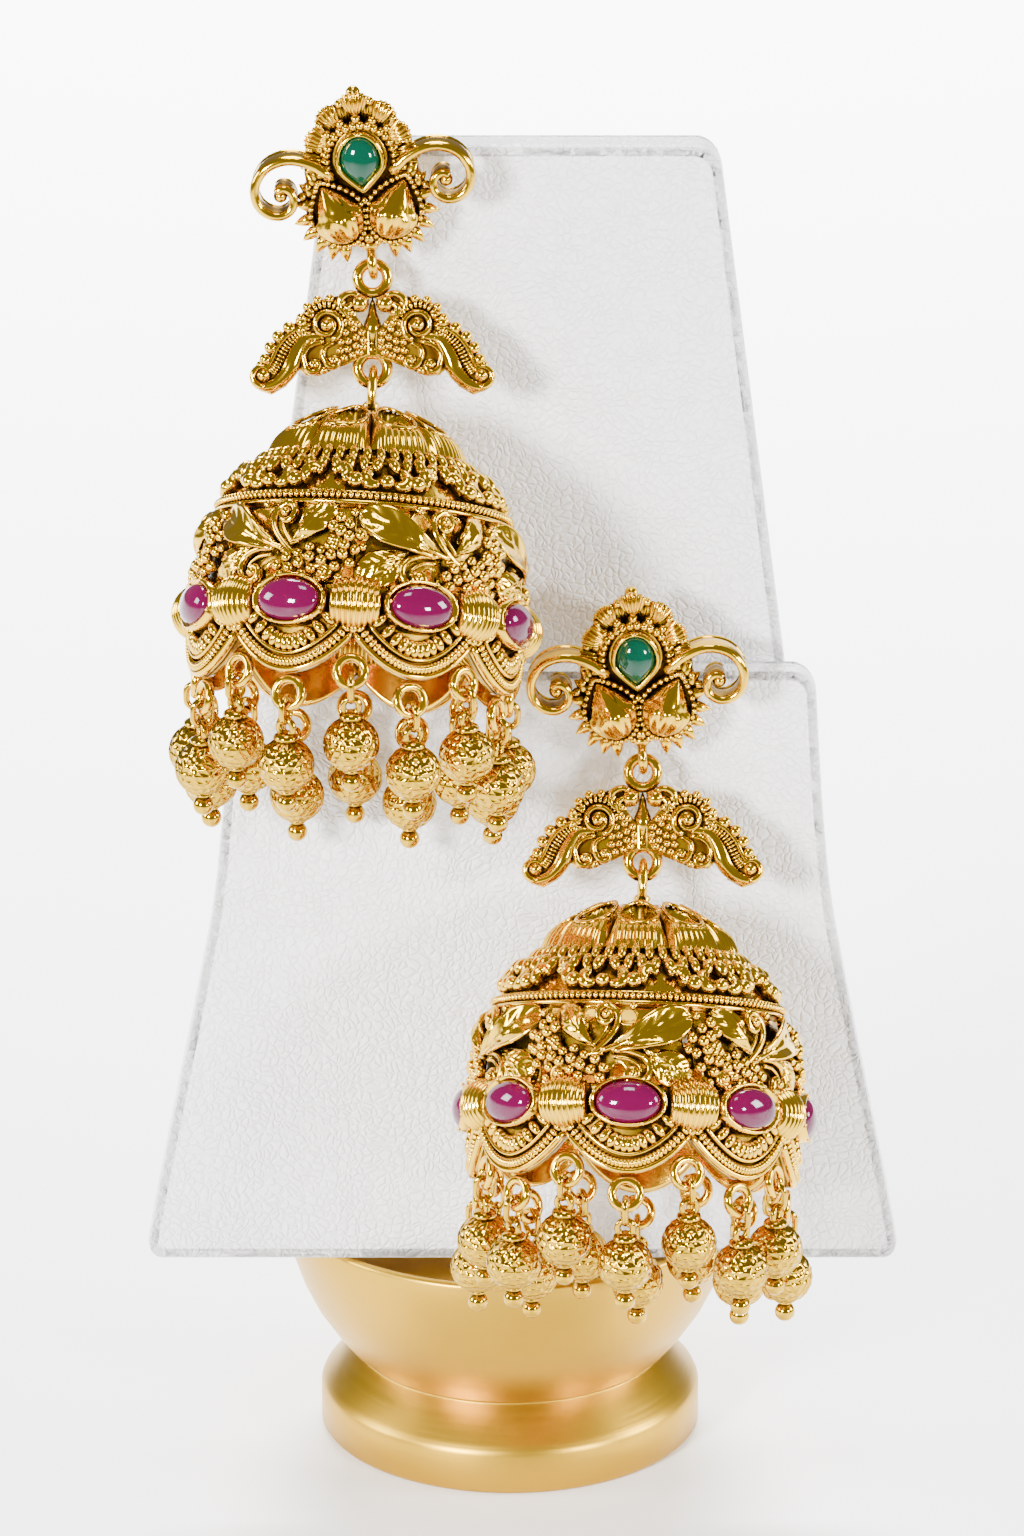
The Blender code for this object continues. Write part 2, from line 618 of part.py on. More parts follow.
def make_bell(side, pivot, gold, red):
    hand = 1 if side == "left" else -1
    turn = RUBY_TURN[side]
    bell = lathe(f"{side}_bell", bell_profile(), BELL_SIDES, pivot, PARTS, gold)
    bell.rotation_euler.z = turn + math.pi / BELL_SIDES
    relief = helper_set(f"{side} bell relief")
    gaps = helper_set(f"{side} bell gaps")
    trims = helper_set(f"{side} bell trims")

    def add(collection, label, bm):
        add_object(f"{side} {label}", mesh_of(bm, label), pivot, collection)

    step = 2 * math.pi / MOTIFS
    for motif in range(MOTIFS):
        for across, down, half_w, half_h, tilt in (LEAF, GRAPES):
            angle, radius, depth = vine_place(motif, across, down, hand, turn)
            shape = lump_bm((half_w * VINE_HEIGHT, VINE_RISE, half_h * VINE_HEIGHT))
            spin = Matrix.Rotation(-hand * tilt, 4, "Y")
            add(relief, "vine relief", placed(shape, on_bell(angle, radius, depth) @ spin))
        for across, down, half_w, half_h, tilt in VINE_GAPS:
            angle, radius, depth = vine_place(motif, across, down, hand, turn)
            cutter = bmesh.new()
            bmesh.ops.create_cone(
                cutter, cap_ends=True, segments=5, radius1=1.0, radius2=1.0, depth=6 * BELL_WALL
            )
            size = Matrix.Diagonal((half_w * VINE_HEIGHT, 1.0, half_h * VINE_HEIGHT, 1.0))
            spin = Matrix.Rotation(-hand * tilt, 4, "Y")
            lay = size @ Matrix.Rotation(math.pi / 2, 4, "X")
            add(gaps, "vine gap", placed(cutter, on_bell(angle, radius, depth) @ spin @ lay))
    for n in range(PETALS):
        depth = BELL_APEX + PETAL_SHARE * BELL_DEPTH
        spin = Matrix.Rotation(PETAL_TILT, 4, "X")
        petal = lump_bm(PETAL_SIZE)
        add(relief, "petal", placed(petal, on_bell(n * 2 * math.pi / PETALS, bell_radius(depth), depth) @ spin))

    edge = BELL_APEX + BELL_DEPTH
    row = edge - RUBY_UP
    row_r = bell_radius(row)
    for n in range(RUBIES):
        angle = turn + n * 2 * math.pi / RUBIES
        between = angle + math.pi / RUBIES
        bezel = bezel_bm(RUBY_HALF_W, RUBY_HALF_H, BEZEL_ROOT, RUBY_BOSS_RISE, 0.0, BEZEL_WALL)
        add(trims, "ruby bezel", placed(bezel, on_bell(angle, row_r, row)))
        stone = cabochon_bm(RUBY_HALF_W, RUBY_HALF_H, RUBY_RISE, 0.0, 4)
        placed(stone, on_bell(angle, row_r + RUBY_BOSS_RISE + GAP, row))
        add_object(f"{side}_ruby_{n + 1}", mesh_of(stone, "ruby"), pivot, PARTS, red)
        barrel = bmesh.new()
        bmesh.ops.create_cone(
            barrel, cap_ends=True, segments=BARREL_SIDES, radius1=1.0, radius2=1.0, depth=2 * BARREL_HALF_LONG
        )
        size = Matrix.Diagonal((1.0, BARREL_RISE, BARREL_HALF_H, 1.0))
        lay = Matrix.Rotation(math.pi / 2, 4, "Y") @ Matrix.Rotation(math.pi / BARREL_SIDES, 4, "Z")
        add(trims, "barrel", placed(barrel, on_bell(between, row_r, row) @ size @ lay))
        rib = []
        for k in range(SCALLOP_POINTS + 1):
            t = 2 * k / SCALLOP_POINTS - 1
            depth = edge - SCALLOP_RISE * t * t
            at = on_bell(angle + t * math.pi / RUBIES, BELL_R + SCALLOP_RIB_R / 4, depth)
            rib.append(tuple(at.translation))
        add_object(f"{side} scallop", tube("scallop", rib, SCALLOP_RIB_R), pivot, trims)
        notch = bmesh.new()
        bmesh.ops.create_cone(
            notch, cap_ends=True, segments=NOTCH_SIDES, radius1=NOTCH_R, radius2=NOTCH_R, depth=6 * BELL_WALL
        )
        lay = Matrix.Rotation(math.pi / 2, 4, "X") @ Matrix.Rotation(math.pi / NOTCH_SIDES, 4, "Z")
        add(gaps, "notch", placed(notch, on_bell(between, BELL_R, edge - NOTCH_RISE + NOTCH_R) @ lay))
    for matrix in tab_places(side):
        tab = face_on(hook_bm(TAB_R, TAB_WIRE_R, TAB_LEG))
        add(trims, "tab", placed(tab, matrix @ Matrix.Rotation(math.pi, 4, "Y")))
    loop = ring_bm(LOOP_R, LOOP_WIRE_R, BELL_LOOP_LONG)
    add(trims, "bell loop", loop)
    boolean(bell, "Relief", "UNION", relief)
    boolean(bell, "Openings", "DIFFERENCE", gaps)
    boolean(bell, "Trims", "UNION", trims)
    return bell


def tab_places(side):
    """The frame of each tab on the bell, low under a ruby and high under a barrel."""
    edge = BELL_APEX + BELL_DEPTH
    for n in range(TABS):
        angle = RUBY_TURN[side] + n * 2 * math.pi / TABS
        yield on_bell(angle, BELL_R - TAB_INSET, edge - HIGH_TAB_RISE if n % 2 else edge + LOW_TAB_DROP)


def drop_mesh(gold):
    """A ball joined to its eye, with the origin on the tab's wire and the eye in the YZ plane."""
    eyes = helper_set("Drop eye")
    eye = hook_bm(EYE_R, EYE_WIRE_R, DROP_HANG - DROP_BALL_R / 2)
    add_object("drop eye", mesh_of(eye, "eye"), None, eyes)
    ball = placed(bead_bm(DROP_BALL_R, 2), Matrix.Translation((0, 0, -DROP_HANG)))
    carrier = add_object("drop pattern", mesh_of(ball, "ball"), None, eyes, gold)
    join = carrier.modifiers.new("Eye", "BOOLEAN")
    join.operation = "UNION"
    join.object = bpy.data.objects["drop eye"]
    graph = bpy.context.evaluated_depsgraph_get()
    mesh = bpy.data.meshes.new_from_object(carrier.evaluated_get(graph))
    for obj in list(eyes.objects):
        bpy.data.objects.remove(obj, do_unlink=True)
    return mesh


def make_drops(side, pivot, mesh):
    """Each drop hangs straight down from the lowest point of its tab."""
    world = pivot.matrix_world
    down = Vector((0, 0, -1))
    for n, ring in enumerate(tab_places(side)):
        at = world @ ring
        out = (at.to_3x3() @ Vector((0, -1, 0))).normalized()
        fall = (down - out * down.dot(out)).normalized()
        wire = fall.cross(out).normalized()
        hang = Matrix.Translation(at.translation + fall * TAB_R)
        facing = Matrix((wire, wire.cross(down), -down)).transposed().to_4x4()
        drop = add_object(f"{side}_drop_{n + 1}", mesh, pivot, PARTS)
        drop.matrix_local = world.inverted() @ hang @ facing


def add_empty(name, location, rotation, parent=None):
    empty = bpy.data.objects.new(name, None)
    empty.empty_display_size = RING_R
    PARTS.objects.link(empty)
    empty.rotation_mode = "XYZ"
    empty.location = location
    empty.rotation_euler = rotation
    empty.parent = parent
    bpy.context.view_layer.update()
    return empty


def make_earring(side, hang, seat, materials, holes, drop):
    across, up = hang
    stud_seat = add_empty(f"{side} stud seat", (across, -HANG_OUT, up), (0, -STUD_ROLL[side], 0), seat)
    emerald_up = make_stud(side, stud_seat, materials["stud gold"], materials["emerald"])
    hole = bmesh.new()
    reach = 2 * (HANG_OUT + POST_IN_PAD + GAP)
    bmesh.ops.create_cone(
        hole, cap_ends=True, segments=10, radius1=POST_R + GAP, radius2=POST_R + GAP, depth=reach
    )
    hole.transform(Matrix.Translation((0, 0, emerald_up - POST_DOWN)) @ Matrix.Rotation(math.pi / 2, 4, "X"))
    add_object(f"{side} post hole", mesh_of(hole, "post hole"), stud_seat, holes)

    top = stud_seat.matrix_world.translation
    crescent_pivot = add_empty(f"{side} crescent pivot", top, (-CRESCENT_LEAN, 0, 0))
    make_crescent(side, crescent_pivot, materials["crescent gold"])
    reach = 2 * RING_R + CRESCENT_RINGS_APART
    low = crescent_pivot.matrix_world @ Vector((0, 0, -reach))
    bell_pivot = add_empty(f"{side} bell pivot", low, (-BELL_LEAN, BELL_ROLL[side], 0))
    make_bell(side, bell_pivot, materials["bell gold"], materials["ruby"])
    make_drops(side, bell_pivot, drop)


def main():
    global PARTS, TOOLS
    clear_scene()
    PARTS = new_collection("Jhumka earrings on stand")
    TOOLS = new_collection("Cutters and trims", helper=True)
    gold = (0.83, 0.53, 0.16)
    materials = {
        "stud gold": finish_material("stud gold", gold, 0.28, 1.0),
        "crescent gold": finish_material("crescent gold", gold, 0.28, 1.0),
        "bell gold": finish_material("bell gold", gold, 0.30, 1.0),
        "drop gold": finish_material("drop gold", (0.90, 0.60, 0.20), 0.2, 1.0),
        "ruby": finish_material("ruby", (0.62, 0.02, 0.20), 0.05, 0.0, 0.5),
        "emerald": finish_material("emerald", (0.0, 0.25, 0.14), 0.05, 0.0, 0.5),
        "upper leather": finish_material("upper leather", (0.90, 0.90, 0.90), 0.55),
        "lower leather": finish_material("lower leather", (0.92, 0.92, 0.92), 0.55),
        "brass": finish_material("brass", (0.75, 0.57, 0.24), 0.32, 1.0),
    }
    make_base(materials["brass"])
    seat = add_empty("pad seat", (PAD_CENTRE_X, -PAD_FRONT, BOWL_TOP + GAP), (-PAD_LEAN, 0, 0))
    holes = helper_set("Post holes")
    lower = pad_outline(LOWER_HEIGHT, LOWER_TOP_HALF, LOWER_FOOT_HALF, LOWER_SIDE)
    upper = pad_outline(UPPER_HEIGHT, UPPER_TOP_HALF, UPPER_FOOT_HALF, UPPER_SIDE)
    step_back = LOWER_THICK + GAP
    make_pad("lower_pad", lower, LOWER_THICK, 0.0, seat, holes, materials["lower leather"])
    make_pad("upper_pad", upper, UPPER_THICK, step_back, seat, holes, materials["upper leather"])
    left_seat = add_empty("upper pad face", (0, step_back, 0), (0, 0, 0), seat)
    drop = drop_mesh(materials["drop gold"])
    make_earring("left", LEFT_HANG, left_seat, materials, holes, drop)
    make_earring("right", RIGHT_HANG, seat, materials, holes, drop)
    make_booleans()


main()
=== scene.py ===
"""Dresses the pair of jhumka earrings on their leather stand and lights them.

Shapes are made in millimetres round the pivot that carries them, with -Y towards the viewer, and then
put in place. A bell's bands are made flat, x round the bell and z up its axis, and are wrapped on its
outline afterwards.
"""

import json
import math

import bmesh
import bpy
import numpy as np
from bpy.props import FloatProperty, FloatVectorProperty, IntProperty, PointerProperty
from mathutils import Euler, Matrix, Vector
from mathutils.bvhtree import BVHTree


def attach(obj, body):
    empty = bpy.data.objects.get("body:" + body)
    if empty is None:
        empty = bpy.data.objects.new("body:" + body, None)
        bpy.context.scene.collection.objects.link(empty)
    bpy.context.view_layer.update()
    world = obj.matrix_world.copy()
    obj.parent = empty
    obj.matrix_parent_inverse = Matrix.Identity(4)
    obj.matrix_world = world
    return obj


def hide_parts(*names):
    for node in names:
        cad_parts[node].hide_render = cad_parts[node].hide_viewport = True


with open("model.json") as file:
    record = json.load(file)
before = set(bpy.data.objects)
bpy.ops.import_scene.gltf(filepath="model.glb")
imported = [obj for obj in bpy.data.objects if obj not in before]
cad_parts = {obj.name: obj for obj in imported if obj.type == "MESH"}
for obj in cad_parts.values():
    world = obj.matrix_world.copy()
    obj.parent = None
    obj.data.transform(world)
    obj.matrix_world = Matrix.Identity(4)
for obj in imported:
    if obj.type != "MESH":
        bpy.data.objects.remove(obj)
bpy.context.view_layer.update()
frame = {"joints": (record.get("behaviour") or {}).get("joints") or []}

bl_info = {
    "name": "Jhumka earrings",
    "version": (1, 0, 0),
    "blender": (4, 5, 0),
    "location": "View3D > Sidebar > Jhumka",
    "description": "Builds the looks of a pair of jhumka earrings on a leather stand",
    "category": "Add Mesh",
}

MM = 0.001
TAU = 2 * math.pi
SIDES = ("left", "right")
PIVOT = {joint["name"]: Vector(joint["pos_m"]) for joint in frame["joints"]}

# How the solids hang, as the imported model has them
PAD_LEAN = 2.0
CRESCENT_LEAN = 21.0
BELL_LEAN = 27.0
STUD_ROLL = {"left": 6.0, "right": 4.0}
BELL_ROLL = {"left": 4.0, "right": 2.2}
RUBY_TURN = {"left": 21.0, "right": -4.0}
HAND = {"left": 1, "right": -1}

# Outline of the bell: depth share and radius share
BELL_OUTLINE = (
    (0.0, 0.13), (0.03, 0.26), (0.07, 0.40), (0.11, 0.50), (0.15, 0.575), (0.20, 0.655), (0.27, 0.76),
    (0.335, 0.845), (0.36, 0.885), (0.48, 0.945), (0.66, 0.985), (0.82, 1.0), (1.0, 1.0), (1.2, 1.0),
)


# Sizes and finishes that a user may change


class BellSizes(bpy.types.PropertyGroup):
    """Sizes of a bell and its trims"""

    radius: FloatProperty(
        name="Radius", description="Outer radius of the drum", default=0.0173, unit="LENGTH"
    )
    apex: FloatProperty(
        name="Apex", description="Depth of the dome's top under its ring", default=0.0034, unit="LENGTH"
    )
    depth: FloatProperty(name="Depth", description="Height of dome and drum", default=0.0302, unit="LENGTH")
    wall: FloatProperty(name="Wall", description="Thickness of the sheet", default=0.0010, unit="LENGTH")
    petals: IntProperty(name="Petals", description="Scooped petals round the top", default=9, min=3)
    flowers: IntProperty(name="Flowers", description="Flowers in the band round the dome", default=14, min=3)
    motifs: IntProperty(name="Vines", description="Vine motifs round the drum", default=6, min=2)
    rubies: IntProperty(name="Rubies", description="Stones round the drum", default=8, min=2)
    ruby_row: FloatProperty(
        name="Ruby row", description="Depth of the stones' centres", default=0.0258, unit="LENGTH"
    )


class DropSizes(bpy.types.PropertyGroup):
    """Sizes of a ball drop"""

    ball: FloatProperty(name="Ball", description="Radius of the hammered ball", default=0.0030, unit="LENGTH")
    hang: FloatProperty(
        name="Hang", description="From the tab to the ball's centre", default=0.00645, unit="LENGTH"
    )
    grain: FloatProperty(name="Grain", description="Radius of the grain below", default=0.0011, unit="LENGTH")


class StandSizes(bpy.types.PropertyGroup):
    """Sizes of the stand"""

    foot: FloatProperty(name="Foot", description="Radius of the foot", default=0.0215, unit="LENGTH")
    bowl: FloatProperty(name="Bowl", description="Radius of the bowl's rim", default=0.0258, unit="LENGTH")
    edge: FloatProperty(
        name="Leather edge", description="Rounding of the boards", default=0.0011, unit="LENGTH"
    )


class Finishes(bpy.types.PropertyGroup):
    """Colours and lights"""

    gold: FloatVectorProperty(
        name="Gold", description="Polished high places", subtype="COLOR",
        default=(0.86, 0.51, 0.018), min=0, max=1,
    )
    # Patina colour, which also paints shade into every recess by its openness
    patina_and_shade: FloatVectorProperty(
        name="Patina and shade", description="Dark recesses", subtype="COLOR",
        default=(0.075, 0.032, 0.003), min=0, max=1,
    )
    ruby: FloatVectorProperty(
        name="Ruby", description="Colour of the rubies", subtype="COLOR",
        default=(0.11, 0.0, 0.036), min=0, max=1,
    )
    emerald: FloatVectorProperty(
        name="Emerald", description="Colour of the emeralds", subtype="COLOR",
        default=(0.0, 0.055, 0.028), min=0, max=1,
    )
    leather: FloatVectorProperty(
        name="Leather", description="Colour of the pads", subtype="COLOR",
        default=(0.86, 0.86, 0.86), min=0, max=1,
    )
    brass: FloatVectorProperty(
        name="Brass", description="Colour of the foot", subtype="COLOR",
        default=(0.52, 0.30, 0.015), min=0, max=1,
    )
    key_power: FloatProperty(
        name="Key light", description="Power of the main lamp", default=30.0, unit="POWER"
    )


# Placing and finishing pieces


def turned(axis, degrees):
    return Matrix.Rotation(math.radians(degrees), 4, axis)


def moved(x, y, z):
    return Matrix.Translation((x, y, z))


def scaled(x, y, z):
    return Matrix.Diagonal((x, y, z, 1.0))


def mesh_from(bm, name="shape", smooth=True, turn_out=True):
    if turn_out:
        bmesh.ops.recalc_face_normals(bm, faces=bm.faces)
    for face in bm.faces:
        face.smooth = smooth
    mesh = bpy.data.meshes.new(name)
    bm.to_mesh(mesh)
    bm.free()
    return mesh


def put(bm, mesh, *matrices):
    """Adds a copy of the mesh, with the matrices applied from the last to the first."""
    place = Matrix.Identity(4)
    for matrix in matrices:
        place = place @ matrix
    copy = mesh.copy()
    copy.transform(place)
    if place.determinant() < 0:
        copy.flip_normals()
    bm.from_mesh(copy)
    bpy.data.meshes.remove(copy)


def even_directions(count):
    """Directions spread evenly over a sphere."""
    golden = math.pi * (3 - math.sqrt(5))
    rays = []
    for k in range(count):
        z = 1 - 2 * (k + 0.5) / count
        flat = math.sqrt(1 - z * z)
        rays.append(Vector((flat * math.cos(golden * k), flat * math.sin(golden * k), z)))
    return rays


def mark_patina_and_shade(mesh, reach):
    """Stores how open each point is, from 0 in a recess to 1 on a high place, for the patina and the painted
    shade that darken the recesses.
    """
    bm = bmesh.new()
    bm.from_mesh(mesh)
    bm.normal_update()
    tree = BVHTree.FromBMesh(bm)
    rays = even_directions(22)
    values = []
    for v in bm.verts:
        normal = v.normal
        start = v.co + normal * 0.03
        count = blocked = 0.0
        for ray in rays:
            facing = normal.dot(ray)
            if facing > 0.12:
                count += facing
                distance = tree.ray_cast(start, ray, 25 * reach)[3]
                if distance is not None:
                    blocked += facing * max(0.8, 1 - 0.2 * distance / reach)
        values.append(1 - blocked / count if count else 1.0)
    bm.free()
    mesh.attributes.new("openness", "FLOAT", "POINT").data.foreach_set("value", values)


def finished(name, bm, place, body, material, nodes=(), reach=1.6):
    """Puts the shape where it hangs and makes it a piece that rides on its body."""
    mesh = bpy.data.meshes.new(name)
    bm.to_mesh(mesh)
    bm.free()
    # Openness for the patina and the painted shade in the recesses
    if reach:
        mark_patina_and_shade(mesh, reach)
    mesh.transform(place @ Matrix.Scale(MM, 4))
    mesh.materials.append(material)
    piece = bpy.data.objects.new(name, mesh)
    bpy.context.scene.collection.objects.link(piece)
    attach(piece, body)
    if nodes:
        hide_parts(*nodes)
    return piece


def seat_of(side):
    """The stud's place: its lower loop is round the origin."""
    lean = Euler((math.radians(-PAD_LEAN), 0, 0)).to_matrix().to_4x4()
    roll = Euler((0, math.radians(-STUD_ROLL[side]), 0)).to_matrix().to_4x4()
    return Matrix.Translation(PIVOT[f"{side}_crescent_swing"]) @ lean @ roll


def crescent_place(side):
    return Matrix.Translation(PIVOT[f"{side}_crescent_swing"]) @ turned("X", -CRESCENT_LEAN)


def bell_place(side):
    tip = Euler((math.radians(-BELL_LEAN), math.radians(BELL_ROLL[side]), 0)).to_matrix().to_4x4()
    return Matrix.Translation(PIVOT[f"{side}_bell_swing"]) @ tip


# Small shapes that repeat


def bead(detail=2):
    bm = bmesh.new()
    bmesh.ops.create_icosphere(bm, subdivisions=detail, radius=1.0)
    return mesh_from(bm)


def turned_round(bm, steps):
    """Turns the section in bm a full circle round the Z axis."""
    bmesh.ops.spin(
        bm, geom=bm.verts[:] + bm.edges[:], cent=(0, 0, 0), axis=(0, 0, 1),
        angle=TAU, steps=steps, use_merge=True,
    )
    bmesh.ops.remove_doubles(bm, verts=bm.verts, dist=1e-4)
    return mesh_from(bm)


def ring(radius, wire, major, minor):
    """A ring round the Z axis."""
    bm = bmesh.new()
    section = bmesh.ops.create_circle(bm, segments=minor, radius=wire)["verts"]
    bmesh.ops.transform(bm, matrix=moved(radius, 0, 0) @ turned("X", 90), verts=section)
    return turned_round(bm, major)


def turning(profile, steps):
    """A profile of (radius, z) points turned round the Z axis."""
    bm = bmesh.new()
    line = [bm.verts.new((radius, 0, z)) for radius, z in profile]
    for a, b in zip(line, line[1:]):
        bm.edges.new((a, b))
    return turned_round(bm, steps)


def edges_between(verts):
    return list({e for v in verts for e in v.link_edges if e.other_vert(v) in verts})


def strand(points, widths, flat, sides=8):
    """A strand through points of the XZ plane, each with its own half width; flat is its depth share."""
    bm = bmesh.new()
    points = [Vector(p) for p in points]
    verts = bmesh.ops.create_circle(bm, cap_ends=True, segments=sides, radius=1.0)["verts"]
    last = Matrix.Identity(4)
    out = Vector((0, -1, 0))
    for k, (point, width) in enumerate(zip(points, widths)):
        along = (points[min(k + 1, len(points) - 1)] - points[max(k - 1, 0)]).normalized()
        across = out.cross(along).normalized()
        width = max(width, 0.03)
        frame_here = Matrix((across * width, out * width * flat, along * width)).transposed().to_4x4()
        frame_here.translation = point
        if k:
            new = bmesh.ops.extrude_edge_only(bm, edges=edges_between(verts))["geom"]
            verts = [v for v in new if isinstance(v, bmesh.types.BMVert)]
        bmesh.ops.transform(bm, matrix=frame_here @ last.inverted(), verts=verts)
        last = frame_here
    bmesh.ops.contextual_create(bm, geom=edges_between(verts))
    return mesh_from(bm)


def closed_strand(points, wire, flat):
    """A strand through points that comes back to its start."""
    return strand(list(points) + [points[0]], [wire] * (len(points) + 1), flat)


def spiral(centre_x, centre_z, start, end, first, last, steps, y=0.0):
    """Points of a spiral, its radius going from start to end and its angle from first to last degrees."""
    points = []
    for k in range(steps + 1):
        share = k / steps
        angle = math.radians(first + (last - first) * share)
        radius = start + (end - start) * share
        points.append((centre_x + radius * math.cos(angle), y, centre_z + radius * math.sin(angle)))
    return points


def through(points, steps):
    """A smooth line through the given points of the XZ plane."""
    knots = [Vector((x, 0, z)) for x, z in points]
    knots = [2 * knots[0] - knots[1]] + knots + [2 * knots[-1] - knots[-2]]
    line = []
    for k in range(steps + 1):
        place = k / steps * (len(points) - 1)
        i = min(int(place), len(points) - 2)
        t = place - i
        a, b, c, d = knots[i : i + 4]
        square = (2 * a - 5 * b + 4 * c - d) * t**2
        cube = (3 * b - a - 3 * c + d) * t**3
        line.append(0.5 * ((2 * b) + (c - a) * t + square + cube))
    return line


def tapered(count, first, last, middle=None):
    """Half widths from first to last, through middle when it is given."""
    if middle is None:
        return [first + (last - first) * k / (count - 1) for k in range(count)]
    return [float(np.interp(k / (count - 1), (0, 0.45, 1), (first, middle, last))) for k in range(count)]


def surface(columns, rows, shape, thick):
    """A sheet whose points come from shape(u, t), with u from -1 to 1 across and t from 0 to 1 along."""
    bm = bmesh.new()
    bmesh.ops.create_grid(bm, x_segments=columns, y_segments=rows, size=1.0)
    for v in bm.verts:
        v.co = Vector(shape(v.co.x, (v.co.y + 1) / 2))
    bm.normal_update()
    if sum(f.normal.y for f in bm.faces) > 0:
        bmesh.ops.reverse_faces(bm, faces=bm.faces)
    bm.normal_update()
    if thick:
        bmesh.ops.solidify(bm, geom=bm.faces[:], thickness=thick)
        if bm.calc_volume(signed=True) < 0:
            bmesh.ops.reverse_faces(bm, faces=bm.faces)
    return mesh_from(bm, turn_out=False)


def leaf(length, width, veins=6, lift=0.5, cup=0.35, bend=0.0, thick=0.35):
    """A veined leaf along +Z from its root, widest past its middle; cup raises its rim over its midrib."""

    def shape(u, t):
        grow = min(1.0, t / 0.62) ** 0.75
        close = math.sqrt(max(0.0, 1 - max(0.0, (t - 0.62) / 0.38) ** 2.2))
        half = width / 2 * max(0.06, grow * close)
        rib = 0.30 * math.exp(-((u / 0.10) ** 2)) * (1 - 0.7 * t)
        vein = 0.13 * math.cos(TAU * (veins * t - 1.3 * abs(u))) * min(1, 4 * abs(u)) * (1 - u * u)
        swell = math.sin(math.pi * min(1, 0.1 + 0.9 * t))
        high = lift * swell + cup * u * u * max(0.0, math.sin(math.pi * t)) ** 0.5
        sway = bend * math.sin(math.pi * t / 2) ** 2 * length
        return (u * half + sway, -(0.15 + high + rib + vein), t * length)

    return surface(12, 24, shape, thick)


def fan(length, base, tip, ribs, lift, thick=0.3, round_tip=0.25):
    """A ribbed fan petal along +Z with a rounded tip that curls outward."""

    def shape(u, t):
        half = base + (tip - base) * t**0.8
        rib = 0.15 * math.cos(math.pi * ribs * u) * min(1, 2 * t)
        crown = (1 - u * u) * lift * math.sin(math.pi * (0.15 + 0.75 * t))
        tip_wave = 1 - round_tip * u * u + 0.05 * math.cos(math.pi * ribs * u)
        return (u * half, -(0.15 + crown + rib), length * t * tip_wave)

    return surface(5 * ribs, 8, shape, thick)


# A dome cup's oval mouth: its centre's depth below the apex and half height in mm, and its share of the width
MOUTH_DEPTH = 2.0
MOUTH_HALF = 1.25
MOUTH_SHARE = 0.82


def scoop(half, top, foot):
    """A cup on the dome: an oval mouth with a raised rim, and ribs that run down outside to the foot."""
    centre = top + MOUTH_DEPTH

    def shape(u, t):
        low = foot - 0.45 * u * u
        deep = top + (low - top) * t
        mouth = math.hypot(u / MOUTH_SHARE, (deep - centre) / MOUTH_HALF)
        lip = centre + MOUTH_HALF * math.sqrt(max(0.0, 1 - (u / MOUTH_SHARE) ** 2))
        if mouth < 1:
            high = 1.15 - 1.8 * min(1.0, (1 - mouth) / 0.3) ** 0.7
        elif deep > centre:
            share = min(1.0, (deep - lip) / (low - lip))
            rib = 0.14 * math.cos(TAU * 5 * u) * min(1.0, 6 * share)
            high = 0.1 + 1.05 * (1 - share**1.7) + rib
        else:
            high = 0.2 + 0.95 * math.exp((1 - mouth) / 0.2)
        return (u * half, 0.2 - (0.2 + high) * (1 - abs(u) ** 8), -deep)

    return surface(40, 26, shape, 0)


BEAD = bead(2)
FINE_BEAD = bead(3)


def beads_along(bm, points, radius, high, mesh, stretch):
    """A stretched bead at each point, its centre raised by high, turned to follow the line."""
    for k, point in enumerate(points):
        a, b = Vector(points[max(k - 1, 0)]), Vector(points[min(k + 1, len(points) - 1)])
        angle = math.degrees(math.atan2((b - a).z, (b - a).x)) if (b - a).length else 0
        size = scaled(radius * stretch[0], radius * stretch[1], radius * stretch[2])
        put(bm, mesh, moved(point[0], point[1] - high, point[2]), turned("Y", -angle), size)


# Materials


def socket_group(name, inputs, outputs):
    group = bpy.data.node_groups.new(name, "ShaderNodeTree")
    for label, kind, value in inputs:
        made = group.interface.new_socket(label, in_out="INPUT", socket_type=kind)
        made.default_value = value
    for label, kind in outputs:
        group.interface.new_socket(label, in_out="OUTPUT", socket_type=kind)
    return group, group.nodes.new("NodeGroupInput").outputs, group.nodes.new("NodeGroupOutput").inputs


